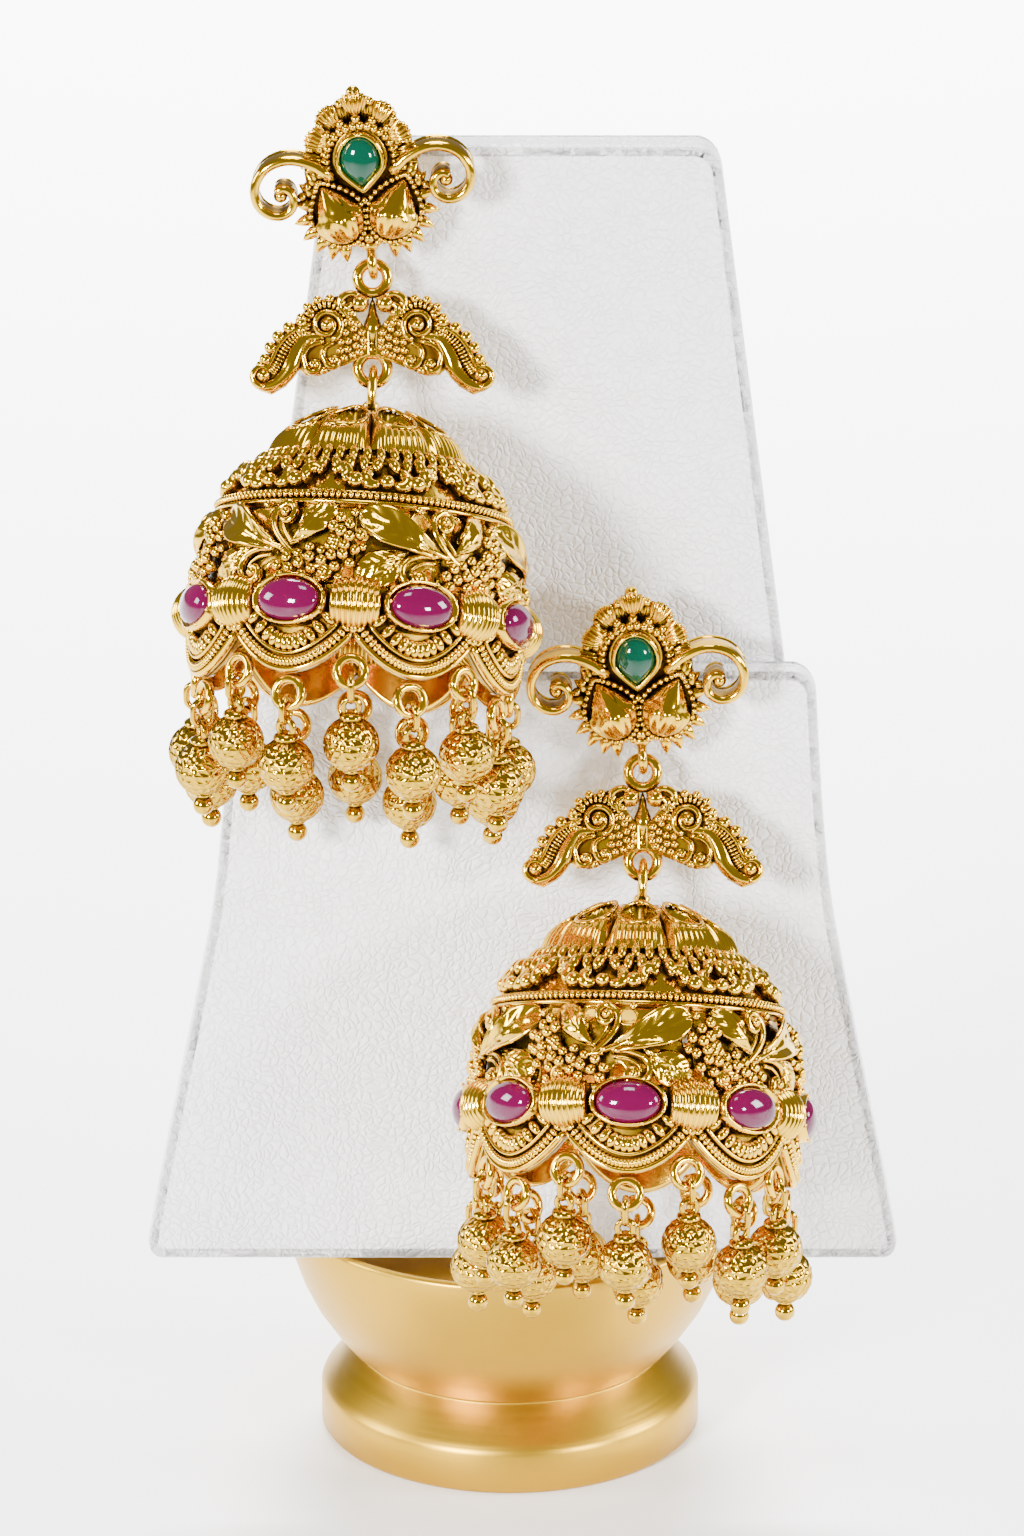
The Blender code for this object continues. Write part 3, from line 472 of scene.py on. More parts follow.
def cast_gold_group():
    """Patina and painted shade in the recesses, polished metal on the high places, and a faint cast grain."""
    group, given, out = socket_group(
        "Cast gold",
        (
            ("Polished", "NodeSocketColor", (1, 1, 1, 1)),
            ("Patina and shade", "NodeSocketColor", (0, 0, 0, 1)),
            ("Patina depth", "NodeSocketFloat", 0.6),
            ("Grain size", "NodeSocketFloat", 900.0),
        ),
        (("Colour", "NodeSocketColor"), ("Roughness", "NodeSocketFloat"), ("Height", "NodeSocketFloat")),
    )
    nodes, link = group.nodes, group.links.new
    # Openness darkens the gold in recesses: partly antique patina, partly painted shade
    openness = nodes.new("ShaderNodeAttribute")
    openness.attribute_name = "openness"
    place = nodes.new("ShaderNodeTexCoord")
    grain = nodes.new("ShaderNodeTexNoise")
    grain.inputs["Detail"].default_value = 3.0
    link(place.outputs["Object"], grain.inputs["Vector"])
    link(given["Grain size"], grain.inputs["Scale"])
    uneven = nodes.new("ShaderNodeMath")
    uneven.operation = "MULTIPLY_ADD"
    uneven.inputs[1].default_value = 0.16
    link(grain.outputs["Fac"], uneven.inputs[0])
    link(openness.outputs["Fac"], uneven.inputs[2])
    open_share = nodes.new("ShaderNodeMapRange")
    open_share.interpolation_type = "SMOOTHSTEP"
    open_share.inputs["From Min"].default_value = 0.26
    link(uneven.outputs[0], open_share.inputs["Value"])
    link(given["Patina depth"], open_share.inputs["From Max"])
    mix = nodes.new("ShaderNodeMix")
    mix.data_type = "RGBA"
    link(open_share.outputs["Result"], mix.inputs["Factor"])
    link(given["Patina and shade"], mix.inputs[6])
    link(given["Polished"], mix.inputs[7])
    link(mix.outputs[2], out["Colour"])
    rough = nodes.new("ShaderNodeMapRange")
    rough.inputs["To Min"].default_value = 0.42
    rough.inputs["To Max"].default_value = 0.11
    link(open_share.outputs["Result"], rough.inputs["Value"])
    link(rough.outputs["Result"], out["Roughness"])
    link(grain.outputs["Fac"], out["Height"])
    return group


def leather_group():
    """Pebbled grain broken by fine wrinkles."""
    group, given, out = socket_group(
        "Leather grain",
        (("Colour", "NodeSocketColor", (1, 1, 1, 1)), ("Pebbles", "NodeSocketFloat", 1100.0)),
        (("Colour", "NodeSocketColor"), ("Height", "NodeSocketFloat")),
    )
    nodes, link = group.nodes, group.links.new
    place = nodes.new("ShaderNodeTexCoord")
    bend = nodes.new("ShaderNodeTexNoise")
    bend.inputs["Scale"].default_value = 160.0
    bend.inputs["Detail"].default_value = 4.0
    link(place.outputs["Object"], bend.inputs["Vector"])
    wander = nodes.new("ShaderNodeVectorMath")
    wander.operation = "MULTIPLY_ADD"
    wander.inputs[1].default_value = (0.004, 0.004, 0.004)
    link(bend.outputs["Color"], wander.inputs[0])
    link(place.outputs["Object"], wander.inputs[2])
    pebbles = nodes.new("ShaderNodeTexVoronoi")
    pebbles.feature = "DISTANCE_TO_EDGE"
    link(wander.outputs["Vector"], pebbles.inputs["Vector"])
    link(given["Pebbles"], pebbles.inputs["Scale"])
    crease = nodes.new("ShaderNodeMapRange")
    crease.inputs["From Max"].default_value = 0.22
    link(pebbles.outputs["Distance"], crease.inputs["Value"])
    height = nodes.new("ShaderNodeMath")
    height.operation = "MULTIPLY_ADD"
    height.inputs[1].default_value = 0.6
    link(crease.outputs["Result"], height.inputs[0])
    link(bend.outputs["Fac"], height.inputs[2])
    link(height.outputs[0], out["Height"])
    link(given["Colour"], out["Colour"])
    return group


def brushed_group():
    """Fine turning lines round the vertical axis."""
    group, given, out = socket_group(
        "Turned brass",
        (("Line spacing", "NodeSocketFloat", 1.0),),
        (("Roughness", "NodeSocketFloat"), ("Height", "NodeSocketFloat")),
    )
    nodes, link = group.nodes, group.links.new
    place = nodes.new("ShaderNodeTexCoord")
    squeeze = nodes.new("ShaderNodeMapping")
    squeeze.inputs["Scale"].default_value = (18.0, 18.0, 4200.0)
    lines = nodes.new("ShaderNodeTexNoise")
    lines.inputs["Detail"].default_value = 2.0
    link(place.outputs["Object"], squeeze.inputs["Vector"])
    link(squeeze.outputs["Vector"], lines.inputs["Vector"])
    link(given["Line spacing"], lines.inputs["Scale"])
    rough = nodes.new("ShaderNodeMapRange")
    rough.inputs["To Min"].default_value = 0.30
    rough.inputs["To Max"].default_value = 0.42
    link(lines.outputs["Fac"], rough.inputs["Value"])
    link(rough.outputs["Result"], out["Roughness"])
    link(lines.outputs["Fac"], out["Height"])
    return group


def principled(name):
    material = bpy.data.materials.new(name)
    material.use_nodes = True
    return material, material.node_tree.nodes["Principled BSDF"], material.node_tree


def bumped(tree, shader, height, strength, distance):
    bump = tree.nodes.new("ShaderNodeBump")
    bump.inputs["Strength"].default_value = strength
    bump.inputs["Distance"].default_value = distance
    tree.links.new(height, bump.inputs["Height"])
    tree.links.new(bump.outputs["Normal"], shader.inputs["Normal"])


def cast_gold(name, finish, depth, share, strength=0.25):
    material, shader, tree = principled(name)
    group = tree.nodes.new("ShaderNodeGroup")
    group.node_tree = bpy.data.node_groups.get("Cast gold") or cast_gold_group()
    group.inputs["Polished"].default_value = (*(share * part for part in finish.gold), 1)
    group.inputs["Patina and shade"].default_value = (*finish.patina_and_shade, 1)
    group.inputs["Patina depth"].default_value = depth
    tree.links.new(group.outputs["Colour"], shader.inputs["Base Color"])
    tree.links.new(group.outputs["Roughness"], shader.inputs["Roughness"])
    shader.inputs["Metallic"].default_value = 1.0
    bumped(tree, shader, group.outputs["Height"], strength, 0.0001)
    return material


def gem(name, colour):
    material, shader, _ = principled(name)
    shader.inputs["Base Color"].default_value = (*colour, 1)
    shader.inputs["Roughness"].default_value = 0.06
    shader.inputs["IOR"].default_value = 1.45
    shader.inputs["Transmission Weight"].default_value = 0.25
    shader.inputs["Coat Weight"].default_value = 0.12
    shader.inputs["Coat Roughness"].default_value = 0.02
    return material


GOLD_USES = {
    # How deep the patina and the painted recess shade reach, and the share of the polished colour
    "bell gold": (0.84, 1.0),
    # The drops take the same gold darkened to 0.70 of its polished colour, a painted shade
    "drop gold": (0.95, 0.70),
    "stud gold": (0.84, 0.9),
    "crescent gold": (0.84, 0.9),
}


class Materials:
    """Makes each finish the first time that it is asked for."""

    made = {}

    @classmethod
    def get(cls, name):
        if name not in cls.made:
            cls.made[name] = cls.make(name, bpy.context.scene.jhumka_finishes)
        return cls.made[name]

    @staticmethod
    def make(name, finish):
        if name == "ruby":
            return gem("ruby", finish.ruby)
        if name == "emerald":
            return gem("emerald", finish.emerald)
        if name == "leather":
            material, shader, tree = principled("white leather")
            group = tree.nodes.new("ShaderNodeGroup")
            group.node_tree = leather_group()
            group.inputs["Colour"].default_value = (*finish.leather, 1)
            tree.links.new(group.outputs["Colour"], shader.inputs["Base Color"])
            shader.inputs["Roughness"].default_value = 0.42
            bumped(tree, shader, group.outputs["Height"], 0.6, 0.00045)
            return material
        if name == "brass":
            material, shader, tree = principled("turned brass")
            group = tree.nodes.new("ShaderNodeGroup")
            group.node_tree = brushed_group()
            shader.inputs["Base Color"].default_value = (*finish.brass, 1)
            shader.inputs["Metallic"].default_value = 1.0
            tree.links.new(group.outputs["Roughness"], shader.inputs["Roughness"])
            bumped(tree, shader, group.outputs["Height"], 0.12, 0.0001)
            return material
        return cast_gold(name, finish, *GOLD_USES[name])


# The bell


def outline_at(depths):
    """Outer radius of the bell at depths in mm, and how fast it grows there."""
    sizes = bpy.context.scene.jhumka_bell
    share = (np.asarray(depths, float) - sizes.apex / MM) / (sizes.depth / MM)
    deep, wide = np.array(BELL_OUTLINE).T
    fine = np.linspace(0, 1.2, 481)
    smooth = np.convolve(np.pad(np.interp(fine, deep, wide), 9, "edge"), np.ones(19) / 19, "valid")
    radius = np.interp(share, fine, smooth) * sizes.radius / MM
    slope = np.interp(share, fine, np.gradient(smooth, fine)) * sizes.radius / sizes.depth
    return radius, slope


def wrapped(bm, reference, turn):
    """Wraps a flat shape on the bell: x goes round it, z is up its axis and -y stands out from it."""
    points = np.array([v.co for v in bm.verts])
    radius, slope = outline_at(-points[:, 2])
    lie = 1 / np.sqrt(1 + slope**2)
    out = radius - points[:, 1] * lie
    deep = -points[:, 2] + points[:, 1] * slope * lie
    angle = points[:, 0] / reference + turn
    for v, r, s, a in zip(bm.verts, out, deep, angle):
        v.co = (r * math.sin(a), -r * math.cos(a), -s)
    return bm


def flat_sheet(left, right, top, low_edge, cell, thick, holes=()):
    """A flat strip from top down to low_edge(x), cut through at the holes, its front on the XZ plane."""
    width = right - left
    tall = top - low_edge((left + right) / 2)
    bm = bmesh.new()
    columns = round(width / cell)
    rows = max(2, round(abs(tall) / cell))
    bmesh.ops.create_grid(bm, x_segments=columns, y_segments=rows, size=1.0)
    for v in bm.verts:
        x = left + width * (v.co.x + 1) / 2
        low = low_edge(x)
        v.co = (x, 0, low + (top - low) * (v.co.y + 1) / 2)
    cut = []
    for face in bm.faces:
        middle = face.calc_center_median()
        for x, z, half_x, half_z, tilt in holes:
            spun = Matrix.Rotation(math.radians(-tilt), 2) @ Vector((middle.x - x, middle.z - z))
            if (spun.x / half_x) ** 2 + (spun.y / half_z) ** 2 < 1:
                cut.append(face)
                break
    bmesh.ops.delete(bm, geom=cut, context="FACES")
    rim = [v for v in bm.verts if v.is_boundary and left + 0.1 < v.co.x < right - 0.1]
    rim = [v for v in rim if low_edge(v.co.x) + 0.1 < v.co.z < top - 0.1]
    for _ in range(3):
        bmesh.ops.smooth_vert(
            bm, verts=rim, factor=0.5, use_axis_x=True, use_axis_y=False, use_axis_z=True
        )
    bmesh.ops.reverse_faces(bm, faces=[f for f in bm.faces if f.normal.y > 0])
    bm.normal_update()
    bmesh.ops.solidify(bm, geom=bm.faces[:], thickness=thick)
    return mesh_from(bm)


def dome(sizes, turn):
    """The dome: scooped cups, a toothed ring, the flower band and the rope under it."""
    bm = bmesh.new()
    wall = sizes.wall / MM
    depths = np.linspace(sizes.apex / MM - 0.3, 15.2, 30)
    radii, _ = outline_at(depths)
    radii = radii - 1.7 * np.clip((9.4 - depths) / 0.8, 0, 1)
    shell = [(0.0, -depths[0])] + [(max(r, 0.0), -s) for r, s in zip(radii, depths)]
    shell += [(max(r - wall, 0.0), -s) for r, s in zip(radii[::-1], depths[::-1]) if s > 5.6]
    shell.append((0.0, -5.4))
    put(bm, turning(shell, 96))

    cups = bmesh.new()
    reference = 8.0
    step = TAU * reference / sizes.petals
    cup = scoop(step / 2, sizes.apex / MM, 8.85)
    lip = []
    for angle in np.linspace(0, TAU, 32, False):
        lip.append((MOUTH_SHARE / 2 * step * math.cos(angle), 0, MOUTH_HALF * math.sin(angle)))
    lip = closed_strand(lip, 0.17, 1.2)
    for k in range(sizes.petals):
        put(cups, cup, moved(k * step, 0, 0))
        put(cups, lip, moved(k * step, -1.1, -MOUTH_DEPTH - sizes.apex / MM))
    wrapped(cups, reference, turn)
    put(bm, mesh_from(cups, turn_out=False))

    teeth = bmesh.new()
    reference = 11.0
    count = 50
    step = TAU * reference / count
    for k in range(count):
        put(teeth, BEAD, moved(k * step, -0.15, -9.35), scaled(0.52, 0.75, 0.95))
    wrapped(teeth, reference, turn)
    put(bm, mesh_from(teeth, turn_out=False))

    band = bmesh.new()
    reference = 13.3
    step = TAU * reference / sizes.flowers
    comma = strand(spiral(0, 0, 0.85, 0.5, 200, -30, 12), tapered(13, 0.30, 0.62, 0.75), 1.2)
    for k in range(sizes.flowers):
        x = k * step
        hand = 1 if k % 2 else -1

        def lobe(dx, z, tilt, width, length, out=0.55, x=x, hand=hand):
            size = scaled(width, 0.85, length)
            put(band, FINE_BEAD, moved(x + hand * dx, -out, z), turned("Y", hand * tilt), size)

        put(band, comma, moved(x - hand * 1.5, -0.7, -12.3), turned("Y", hand * 35), scaled(hand, 1, 1))
        put(band, comma, moved(x + hand * 1.6, -0.6, -12.5), turned("Y", -hand * 120), scaled(hand, 1, 1))
        lobe(0.0, -12.95, 0, 0.80, 0.72, 0.8)
        lobe(2.95, -13.0, 0, 0.70, 0.62, 0.7)
        lobe(-0.75, -11.0, 10, 0.60, 0.95, 0.7)
        lobe(0.65, -10.9, -14, 0.56, 0.95)
        lobe(2.15, -11.1, 32, 0.58, 0.90, 0.7)
        lobe(-2.2, -11.1, -30, 0.58, 0.90)
    wrapped(band, reference, turn)
    put(bm, mesh_from(band, turn_out=False))

    rope = bmesh.new()
    reference = 15.3
    count = 148
    step = TAU * reference / count
    for k in range(count):
        put(rope, BEAD, moved(k * step, -0.45, -14.4), scaled(0.31, 0.4, 0.36))
    wrapped(rope, reference, turn)
    put(bm, mesh_from(rope, turn_out=False))
    for depth, wire in ((10.35, 0.22), (13.85, 0.26), (14.95, 0.30)):
        radius = float(outline_at([depth])[0][0])
        put(bm, ring(radius + 0.15, wire, 96, 6), moved(0, 0, -depth))
    put(bm, ring(1.35, 0.5, 24, 10), moved(0, 0, -0.75), scaled(1, 1, 1.55), turned("Y", 90))
    collar = [(0, -2.0), (0.7, -2.0), (1.0, -2.4), (0.8, -2.8), (1.3, -3.2), (1.7, -3.7)]
    collar += [(1.2, -4.3), (0, -4.5)]
    put(bm, turning(collar, 24))
    return bm


VINE_HOLES = (
    # x and z of the centre in mm, from the motif's left and the bell's ring, half width, half height and tilt
    (7.7, -16.3, 0.95, 0.75, 0.0),
    (3.0, -23.3, 1.7, 0.55, 0.0),
    (8.6, -22.4, 0.55, 0.9, 0.0),
    (12.4, -23.3, 1.2, 0.5, 0.0),
    (17.8, -22.4, 0.8, 0.7, 0.0),
    (0.6, -18.5, 0.7, 0.9, 0.0),
    (12.6, -16.0, 0.8, 0.5, 0.0),
)


VINE_CURLS = (
    # x and z of the curl's centre, its radius, first and last angle, and the stem that leads to it
    (6.9, -22.9, 0.85, -90, 300, ((9.3, -20.3), (7.2, -20.4), (5.6, -21.1), (5.1, -22.4), (5.7, -23.5))),
    (
        10.1, -16.6, 1.15, 95, -330,
        ((12.6, -21.4), (11.3, -20.6), (9.8, -19.2), (8.8, -17.7), (8.9, -16.3)),
    ),
    (15.0, -22.9, 0.70, 90, -280, ((10.2, -20.6), (12.2, -20.9), (13.6, -22.1))),
)
GRAPE_STEM = (
    # x and z of the line that the bunch of grapes follows
    (16.0, -17.7), (17.2, -18.8), (17.2, -20.3), (15.9, -21.3), (14.0, -21.5), (12.0, -21.9), (10.1, -22.6),
)
VINE_GRAINS = (
    # x and z of the single grains between the leaves
    (0.9, -19.9), (17.9, -16.3), (9.2, -23.5), (2.4, -15.5), (7.1, -15.5), (14.4, -23.6), (16.6, -23.3),
)


def vine(sizes, hand, turn):
    """The pierced vine band: leaves, scrolls and grapes on a sheet cut through between them."""
    reference = sizes.radius / MM
    step = TAU * reference / sizes.motifs
    top, low = -14.8, -24.0
    flat = bmesh.new()
    sheet = flat_sheet(0, step, top, lambda x: low, 0.36, 0.5, VINE_HOLES)
    put(flat, sheet, moved(0, 0.55, 0))

    def scroll(points, widths, out=0.45, flatness=1.2):
        put(flat, strand(points, widths, flatness), moved(0, -out, 0))

    def foliage(mesh, root_x, root_z, tip_x, tip_z, out=0.0):
        tilt = math.degrees(math.atan2(tip_x - root_x, tip_z - root_z))
        put(flat, mesh, moved(root_x, -out, root_z), turned("Y", tilt))

    foliage(leaf(10.0, 3.7, 5, 0.75, 0.55, 0.04), 9.5, -20.2, 0.2, -16.6, 0.15)
    foliage(leaf(6.0, 3.1, 5, 0.8, -0.3, -0.05), 5.8, -20.1, 0.4, -22.3)
    foliage(leaf(4.2, 2.1, 4, 0.6, 0.3), 5.3, -20.6, 2.7, -23.5, 0.1)
    foliage(leaf(6.3, 3.0, 4, 1.3, -0.6, -0.12), 11.2, -19.9, 16.2, -16.2, 0.2)
    foliage(leaf(4.2, 1.8, 4, 0.9, 0.4, 0.1), 12.0, -18.6, 14.6, -15.3, 0.1)
    foliage(leaf(3.6, 1.5, 4, 0.5, 0.3), 9.6, -20.4, 6.6, -18.6)

    for centre_x, centre_z, radius, first, last, lead in VINE_CURLS:
        curl = spiral(centre_x, centre_z, radius, 0.3, first, last, 20)
        lead = through(tuple(lead) + ((curl[0][0], curl[0][2]),), 18)
        scroll(list(lead) + curl[1:], tapered(39, 0.30, 0.30, 0.46), 0.55)
        put(flat, BEAD, moved(centre_x, -0.95, centre_z), scaled(0.5, 0.5, 0.5))
    scroll(through(((10.4, -20.4), (8.2, -19.6), (6.2, -18.6)), 10), tapered(11, 0.34, 0.16), 0.7)
    scroll(through(((9.0, -21.0), (7.4, -21.2), (6.3, -21.9), (6.1, -22.6)), 12), tapered(13, 0.24, 0.16))
    scroll(through(((11.4, -19.9), (10.4, -18.6), (9.8, -17.6)), 10), tapered(11, 0.26, 0.16), 0.6)

    bunch = through(GRAPE_STEM, 10)
    for k, point in enumerate(bunch):
        along = (bunch[min(k + 1, 10)] - bunch[max(k - 1, 0)]).normalized()
        across = Vector((-along.z, 0, along.x))
        for row in (-1, 0, 1) if 0 < k < 9 else (-0.5, 0.5):
            place = point + across * (row + 0.2 * (-1) ** k) * 1.15
            put(flat, BEAD, moved(place.x, -(1.05 - 0.4 * abs(row)), place.z), scaled(0.62, 0.62, 0.62))
    for x, z in VINE_GRAINS:
        put(flat, BEAD, moved(x, -0.4, z), scaled(0.5, 0.5, 0.5))
    motif = mesh_from(flat, turn_out=False)

    band = bmesh.new()
    for k in range(sizes.motifs):
        put(band, motif, moved(hand * k * step, 0, 0), scaled(hand, 1, 1))
    return wrapped(band, reference, turn - hand * 0.42)


def rim(sizes, turn):
    """The ruby row's settings and barrels, the garlands under it and the tabs."""
    reference = sizes.radius / MM
    step = TAU * reference / sizes.rubies
    row = -sizes.ruby_row / MM
    half = step / 2

    lowest, scallop = -33.3, 4.1

    def edge(x):
        return lowest + scallop * (x / half) ** 2

    flat = bmesh.new()
    put(flat, flat_sheet(-half, half, -23.7, edge, 0.45, sizes.wall / MM), moved(0, 0.1, 0))
    setting = [(0, -0.7), (3.3, -0.7), (3.55, -1.75), (3.85, -1.75), (4.0, -0.9), (4.25, -0.3)]
    setting += [(4.3, 0.5), (0, 0.5)]
    put(flat, turning(setting, 44), moved(0, 0, row), scaled(1, 1, 0.68), turned("X", -90))
    for k in range(8):
        angle = TAU * (k + 0.5) / 8
        notch = moved(3.72 * math.cos(angle), -1.7, row + 2.53 * math.sin(angle))
        put(flat, BEAD, notch, scaled(0.2, 0.2, 0.2))

    ribs = 9
    long = 2.5
    profile = [(0.0, -long)]
    for k in range(ribs * 6 + 1):
        z = -long + 2 * long * k / (ribs * 6)
        base = 1.90 + 0.75 * math.cos(math.pi * z / long / 2)
        profile.append((base + 0.34 * abs(math.sin(math.pi * ribs * (z + long) / (2 * long))) ** 0.8, z))
    profile.append((0.0, long))
    put(flat, turning(profile, 28), moved(half, 0.15, row), scaled(1, 0.95, 1), turned("Y", 90))

    def arc(rise, reach, count):
        points = []
        for k in range(count):
            x = half * reach * (2 * k / (count - 1) - 1)
            lean = 2 * scallop * x / half**2
            level = 1 / math.sqrt(1 + lean**2)
            points.append((x - lean * level * rise, 0.0, edge(x) + level * rise))
        return points

    beads_along(flat, arc(3.05, 0.95, 12), 0.62, 0.35, FINE_BEAD, (0.86, 1.05, 1.55))
    put(flat, strand(arc(1.95, 1.0, 25), [0.26] * 25, 2.2), moved(0, -0.2, 0))
    beads_along(flat, arc(1.0, 1.0, 30), 0.42, 0.4, BEAD, (0.82, 1.1, 1.25))
    put(flat, strand(arc(0.25, 1.0, 25), [0.36] * 25, 1.6), moved(0, 0.0, 0))
    for dx, z, size in ((-0.8, -27.9, 0.45), (0.0, -28.5, 0.5), (0.8, -27.9, 0.45)):
        put(flat, BEAD, moved(half + dx, -0.4, z), scaled(size, size, size * 1.2))
    unit = mesh_from(flat, turn_out=False)

    band = bmesh.new()
    for k in range(sizes.rubies):
        put(band, unit, moved(k * step, 0, 0))
    wrapped(band, reference, turn)
    tab = ring(1.5, 0.52, 24, 10)
    for place in tab_frames(sizes, turn):
        put(band, tab, place, turned("X", 90))
    return band


def tab_frames(sizes, turn):
    """Where each tab's ring is centred: low under a ruby and high under a barrel."""
    count = 2 * sizes.rubies
    for k in range(count):
        angle = turn + k * TAU / count
        depth = 33.0 if k % 2 else 35.5
        reach = 16.7
        centre = moved(reach * math.sin(angle), -reach * math.cos(angle), -depth)
        yield centre @ Matrix.Rotation(angle, 4, "Z")


def cabochon(half_w, half_h, rise, point=0.0):
    """A domed stone standing on the XZ plane towards -Y, drawn to a point below when asked."""
    bm = bmesh.new()
    bmesh.ops.create_uvsphere(bm, u_segments=40, v_segments=20, radius=1.0)
    bmesh.ops.rotate(bm, verts=bm.verts, cent=(0, 0, 0), matrix=Matrix.Rotation(math.pi / 2, 3, "X"))
    parts = bm.verts[:] + bm.edges[:] + bm.faces[:]
    cut = bmesh.ops.bisect_plane(
        bm, geom=parts, plane_co=(0, 0, 0), plane_no=(0, 1, 0), clear_outer=True, dist=1e-6
    )
    bmesh.ops.contextual_create(bm, geom=[e for e in cut["geom_cut"] if isinstance(e, bmesh.types.BMEdge)])
    for v in bm.verts:
        narrow = 1.0 - point * max(0.0, -v.co.z) ** 1.7
        v.co = (v.co.x * half_w * narrow, v.co.y * rise, v.co.z * half_h)
    return mesh_from(bm)


def make_bell(side):
    sizes = bpy.context.scene.jhumka_bell
    place = bell_place(side)
    turn = math.radians(RUBY_TURN[side])
    body = f"{side}_bell"
    gold = Materials.get("bell gold")
    finished(f"{side}_dome", dome(sizes, turn), place, body, gold, [f"{side}_bell"])
    finished(f"{side}_vine_band", vine(sizes, HAND[side], turn), place, body, gold)
    finished(f"{side}_ruby_band", rim(sizes, turn), place, body, gold)
    stone = cabochon(3.45, 2.28, 1.55)
    row = sizes.ruby_row / MM
    out = sizes.radius / MM + 1.0
    for k in range(sizes.rubies):
        angle = turn + k * TAU / sizes.rubies
        bm = bmesh.new()
        centre = moved(out * math.sin(angle), -out * math.cos(angle), -row)
        put(bm, stone, centre, Matrix.Rotation(angle, 4, "Z"))
        name = f"{side}_ruby_{k + 1}"
        finished(f"{name}_stone", bm, place, body, Materials.get("ruby"), [name], 0)


# The drops


def drop_shape(sizes):
    """A link round the tab's wire, the ball's eye and collar, the hammered ball and the grain below."""
    ball_r = sizes.ball / MM
    centre = -sizes.hang / MM
    bm = bmesh.new()
    link = ring(1.0, 0.36, 20, 8)
    long = bmesh.new()
    put(long, link, turned("Y", 90))
    for v in long.verts:
        if v.co.z < 0:
            v.co.z -= 0.75
    put(bm, mesh_from(long), moved(0, 0, 0.15))
    put(bm, ring(0.85, 0.36, 20, 8), moved(0, 0, -2.25), turned("X", 90))
    top = centre + ball_r
    collar = [(0, top + 0.75), (0.75, top + 0.65), (1.25, top + 0.35), (1.35, top + 0.05)]
    collar += [(1.0, top - 0.3), (0, top - 0.3)]
    put(bm, turning(collar, 18))
    ball = bmesh.new()
    bmesh.ops.create_icosphere(ball, subdivisions=3, radius=ball_r)
    bmesh.ops.join_triangles(
        ball, faces=ball.faces, angle_face_threshold=math.pi, angle_shape_threshold=math.pi
    )
    bmesh.ops.inset_individual(ball, faces=ball.faces, thickness=0.07, depth=-0.08, use_even_offset=True)
    put(bm, mesh_from(ball, smooth=False), moved(0, 0, centre))
    low = centre - ball_r
    put(bm, turning([(0, low + 0.3), (0.8, low + 0.25), (0.95, low), (0.55, low - 0.3), (0, low - 0.3)], 16))
    grain = sizes.grain / MM
    put(bm, FINE_BEAD, moved(0, 0, low - 0.1 - grain), scaled(grain, grain, grain))
    return mesh_from(bm)


def make_drops(side):
    sizes = bpy.context.scene.jhumka_drop
    place = bell_place(side)
    shape = drop_shape(sizes)
    down = Vector((0, 0, -1))
    turn = math.radians(RUBY_TURN[side])
    for k, tab in enumerate(tab_frames(bpy.context.scene.jhumka_bell, turn)):
        tab.translation *= MM
        at = place @ tab
        out = (at.to_3x3() @ Vector((0, -1, 0))).normalized()
        fall = (down - out * down.dot(out)).normalized()
        wire = fall.cross(out).normalized()
        facing = Matrix((wire, (-down).cross(wire), -down)).transposed().to_4x4()
        hang = Matrix.Translation(at.translation + fall * 1.55 * MM) @ facing
        bm = bmesh.new()
        put(bm, shape)
        name = f"{side}_drop_{k + 1}"
        # The same gold as the bell, darkened as painted shade
        gold = Materials.get("drop gold")
        finished(f"{name}_ball", bm, hang, f"{side}_bell", gold, [name], 1.2)


# The crescent


HORN_PLATE = (
    # Outline of one half of the crescent's plate: places out from and down the middle line, in mm
    (0.3, -3.7), (1.4, -3.5), (3.2, -3.4), (5.2, -3.9), (6.9, -5.0), (8.1, -6.3), (9.6, -7.4), (10.8, -9.0),
    (11.5, -10.7), (12.3, -11.4), (12.8, -12.4), (12.2, -13.6), (10.8, -14.1), (9.2, -13.2), (8.0, -11.2),
    (7.2, -12.0), (5.8, -12.1), (4.2, -11.5), (3.0, -11.0), (1.6, -10.4), (0.3, -9.9), (0.3, -7.3),
    (0.9, -6.8), (1.75, -5.6), (1.65, -5.1), (0.7, -4.7),
)
HORN_BALLS = (
    # x and z of the balls along the horn's outer edge, and their radius
    (7.55, -6.35, 0.66), (8.85, -7.0, 0.70), (10.0, -7.95, 0.70), (10.85, -9.1, 0.68),
    (11.4, -10.35, 0.64), (6.6, -5.55, 0.56), (11.9, -11.0, 0.5),
)
HORN_CURLS = (
    # x and z of the curl's centre, its radius, first and last angle, and the stem that leads to it
    (6.3, -10.95, 0.85, -20, -360, ((5.2, -8.4), (6.6, -8.9), (7.35, -9.9))),
    (4.2, -10.5, 0.80, -10, -350, ((4.1, -8.5), (5.1, -9.1), (5.3, -9.9))),
)
CLUSTER_GRAINS = (
    # x and z of the grains beside the stem
    (2.0, -7.1), (2.85, -7.5), (1.75, -8.0), (2.55, -8.4), (3.35, -8.5), (1.75, -8.9), (2.6, -9.3),
    (3.4, -9.4), (2.1, -9.9), (3.0, -10.2), (1.4, -9.6), (3.0, -6.5), (1.15, -7.5), (0.95, -8.3),
    (1.6, -6.6), (1.0, -9.0), (2.3, -6.4), (5.2, -11.5),
)


def extrude_back(bm, thick):
    """Gives the flat faces their thickness, towards +Y."""
    made = bmesh.ops.extrude_face_region(bm, geom=bm.faces[:])["geom"]
    back = [v for v in made if isinstance(v, bmesh.types.BMVert)]
    bmesh.ops.translate(bm, verts=back, vec=(0, thick, 0))


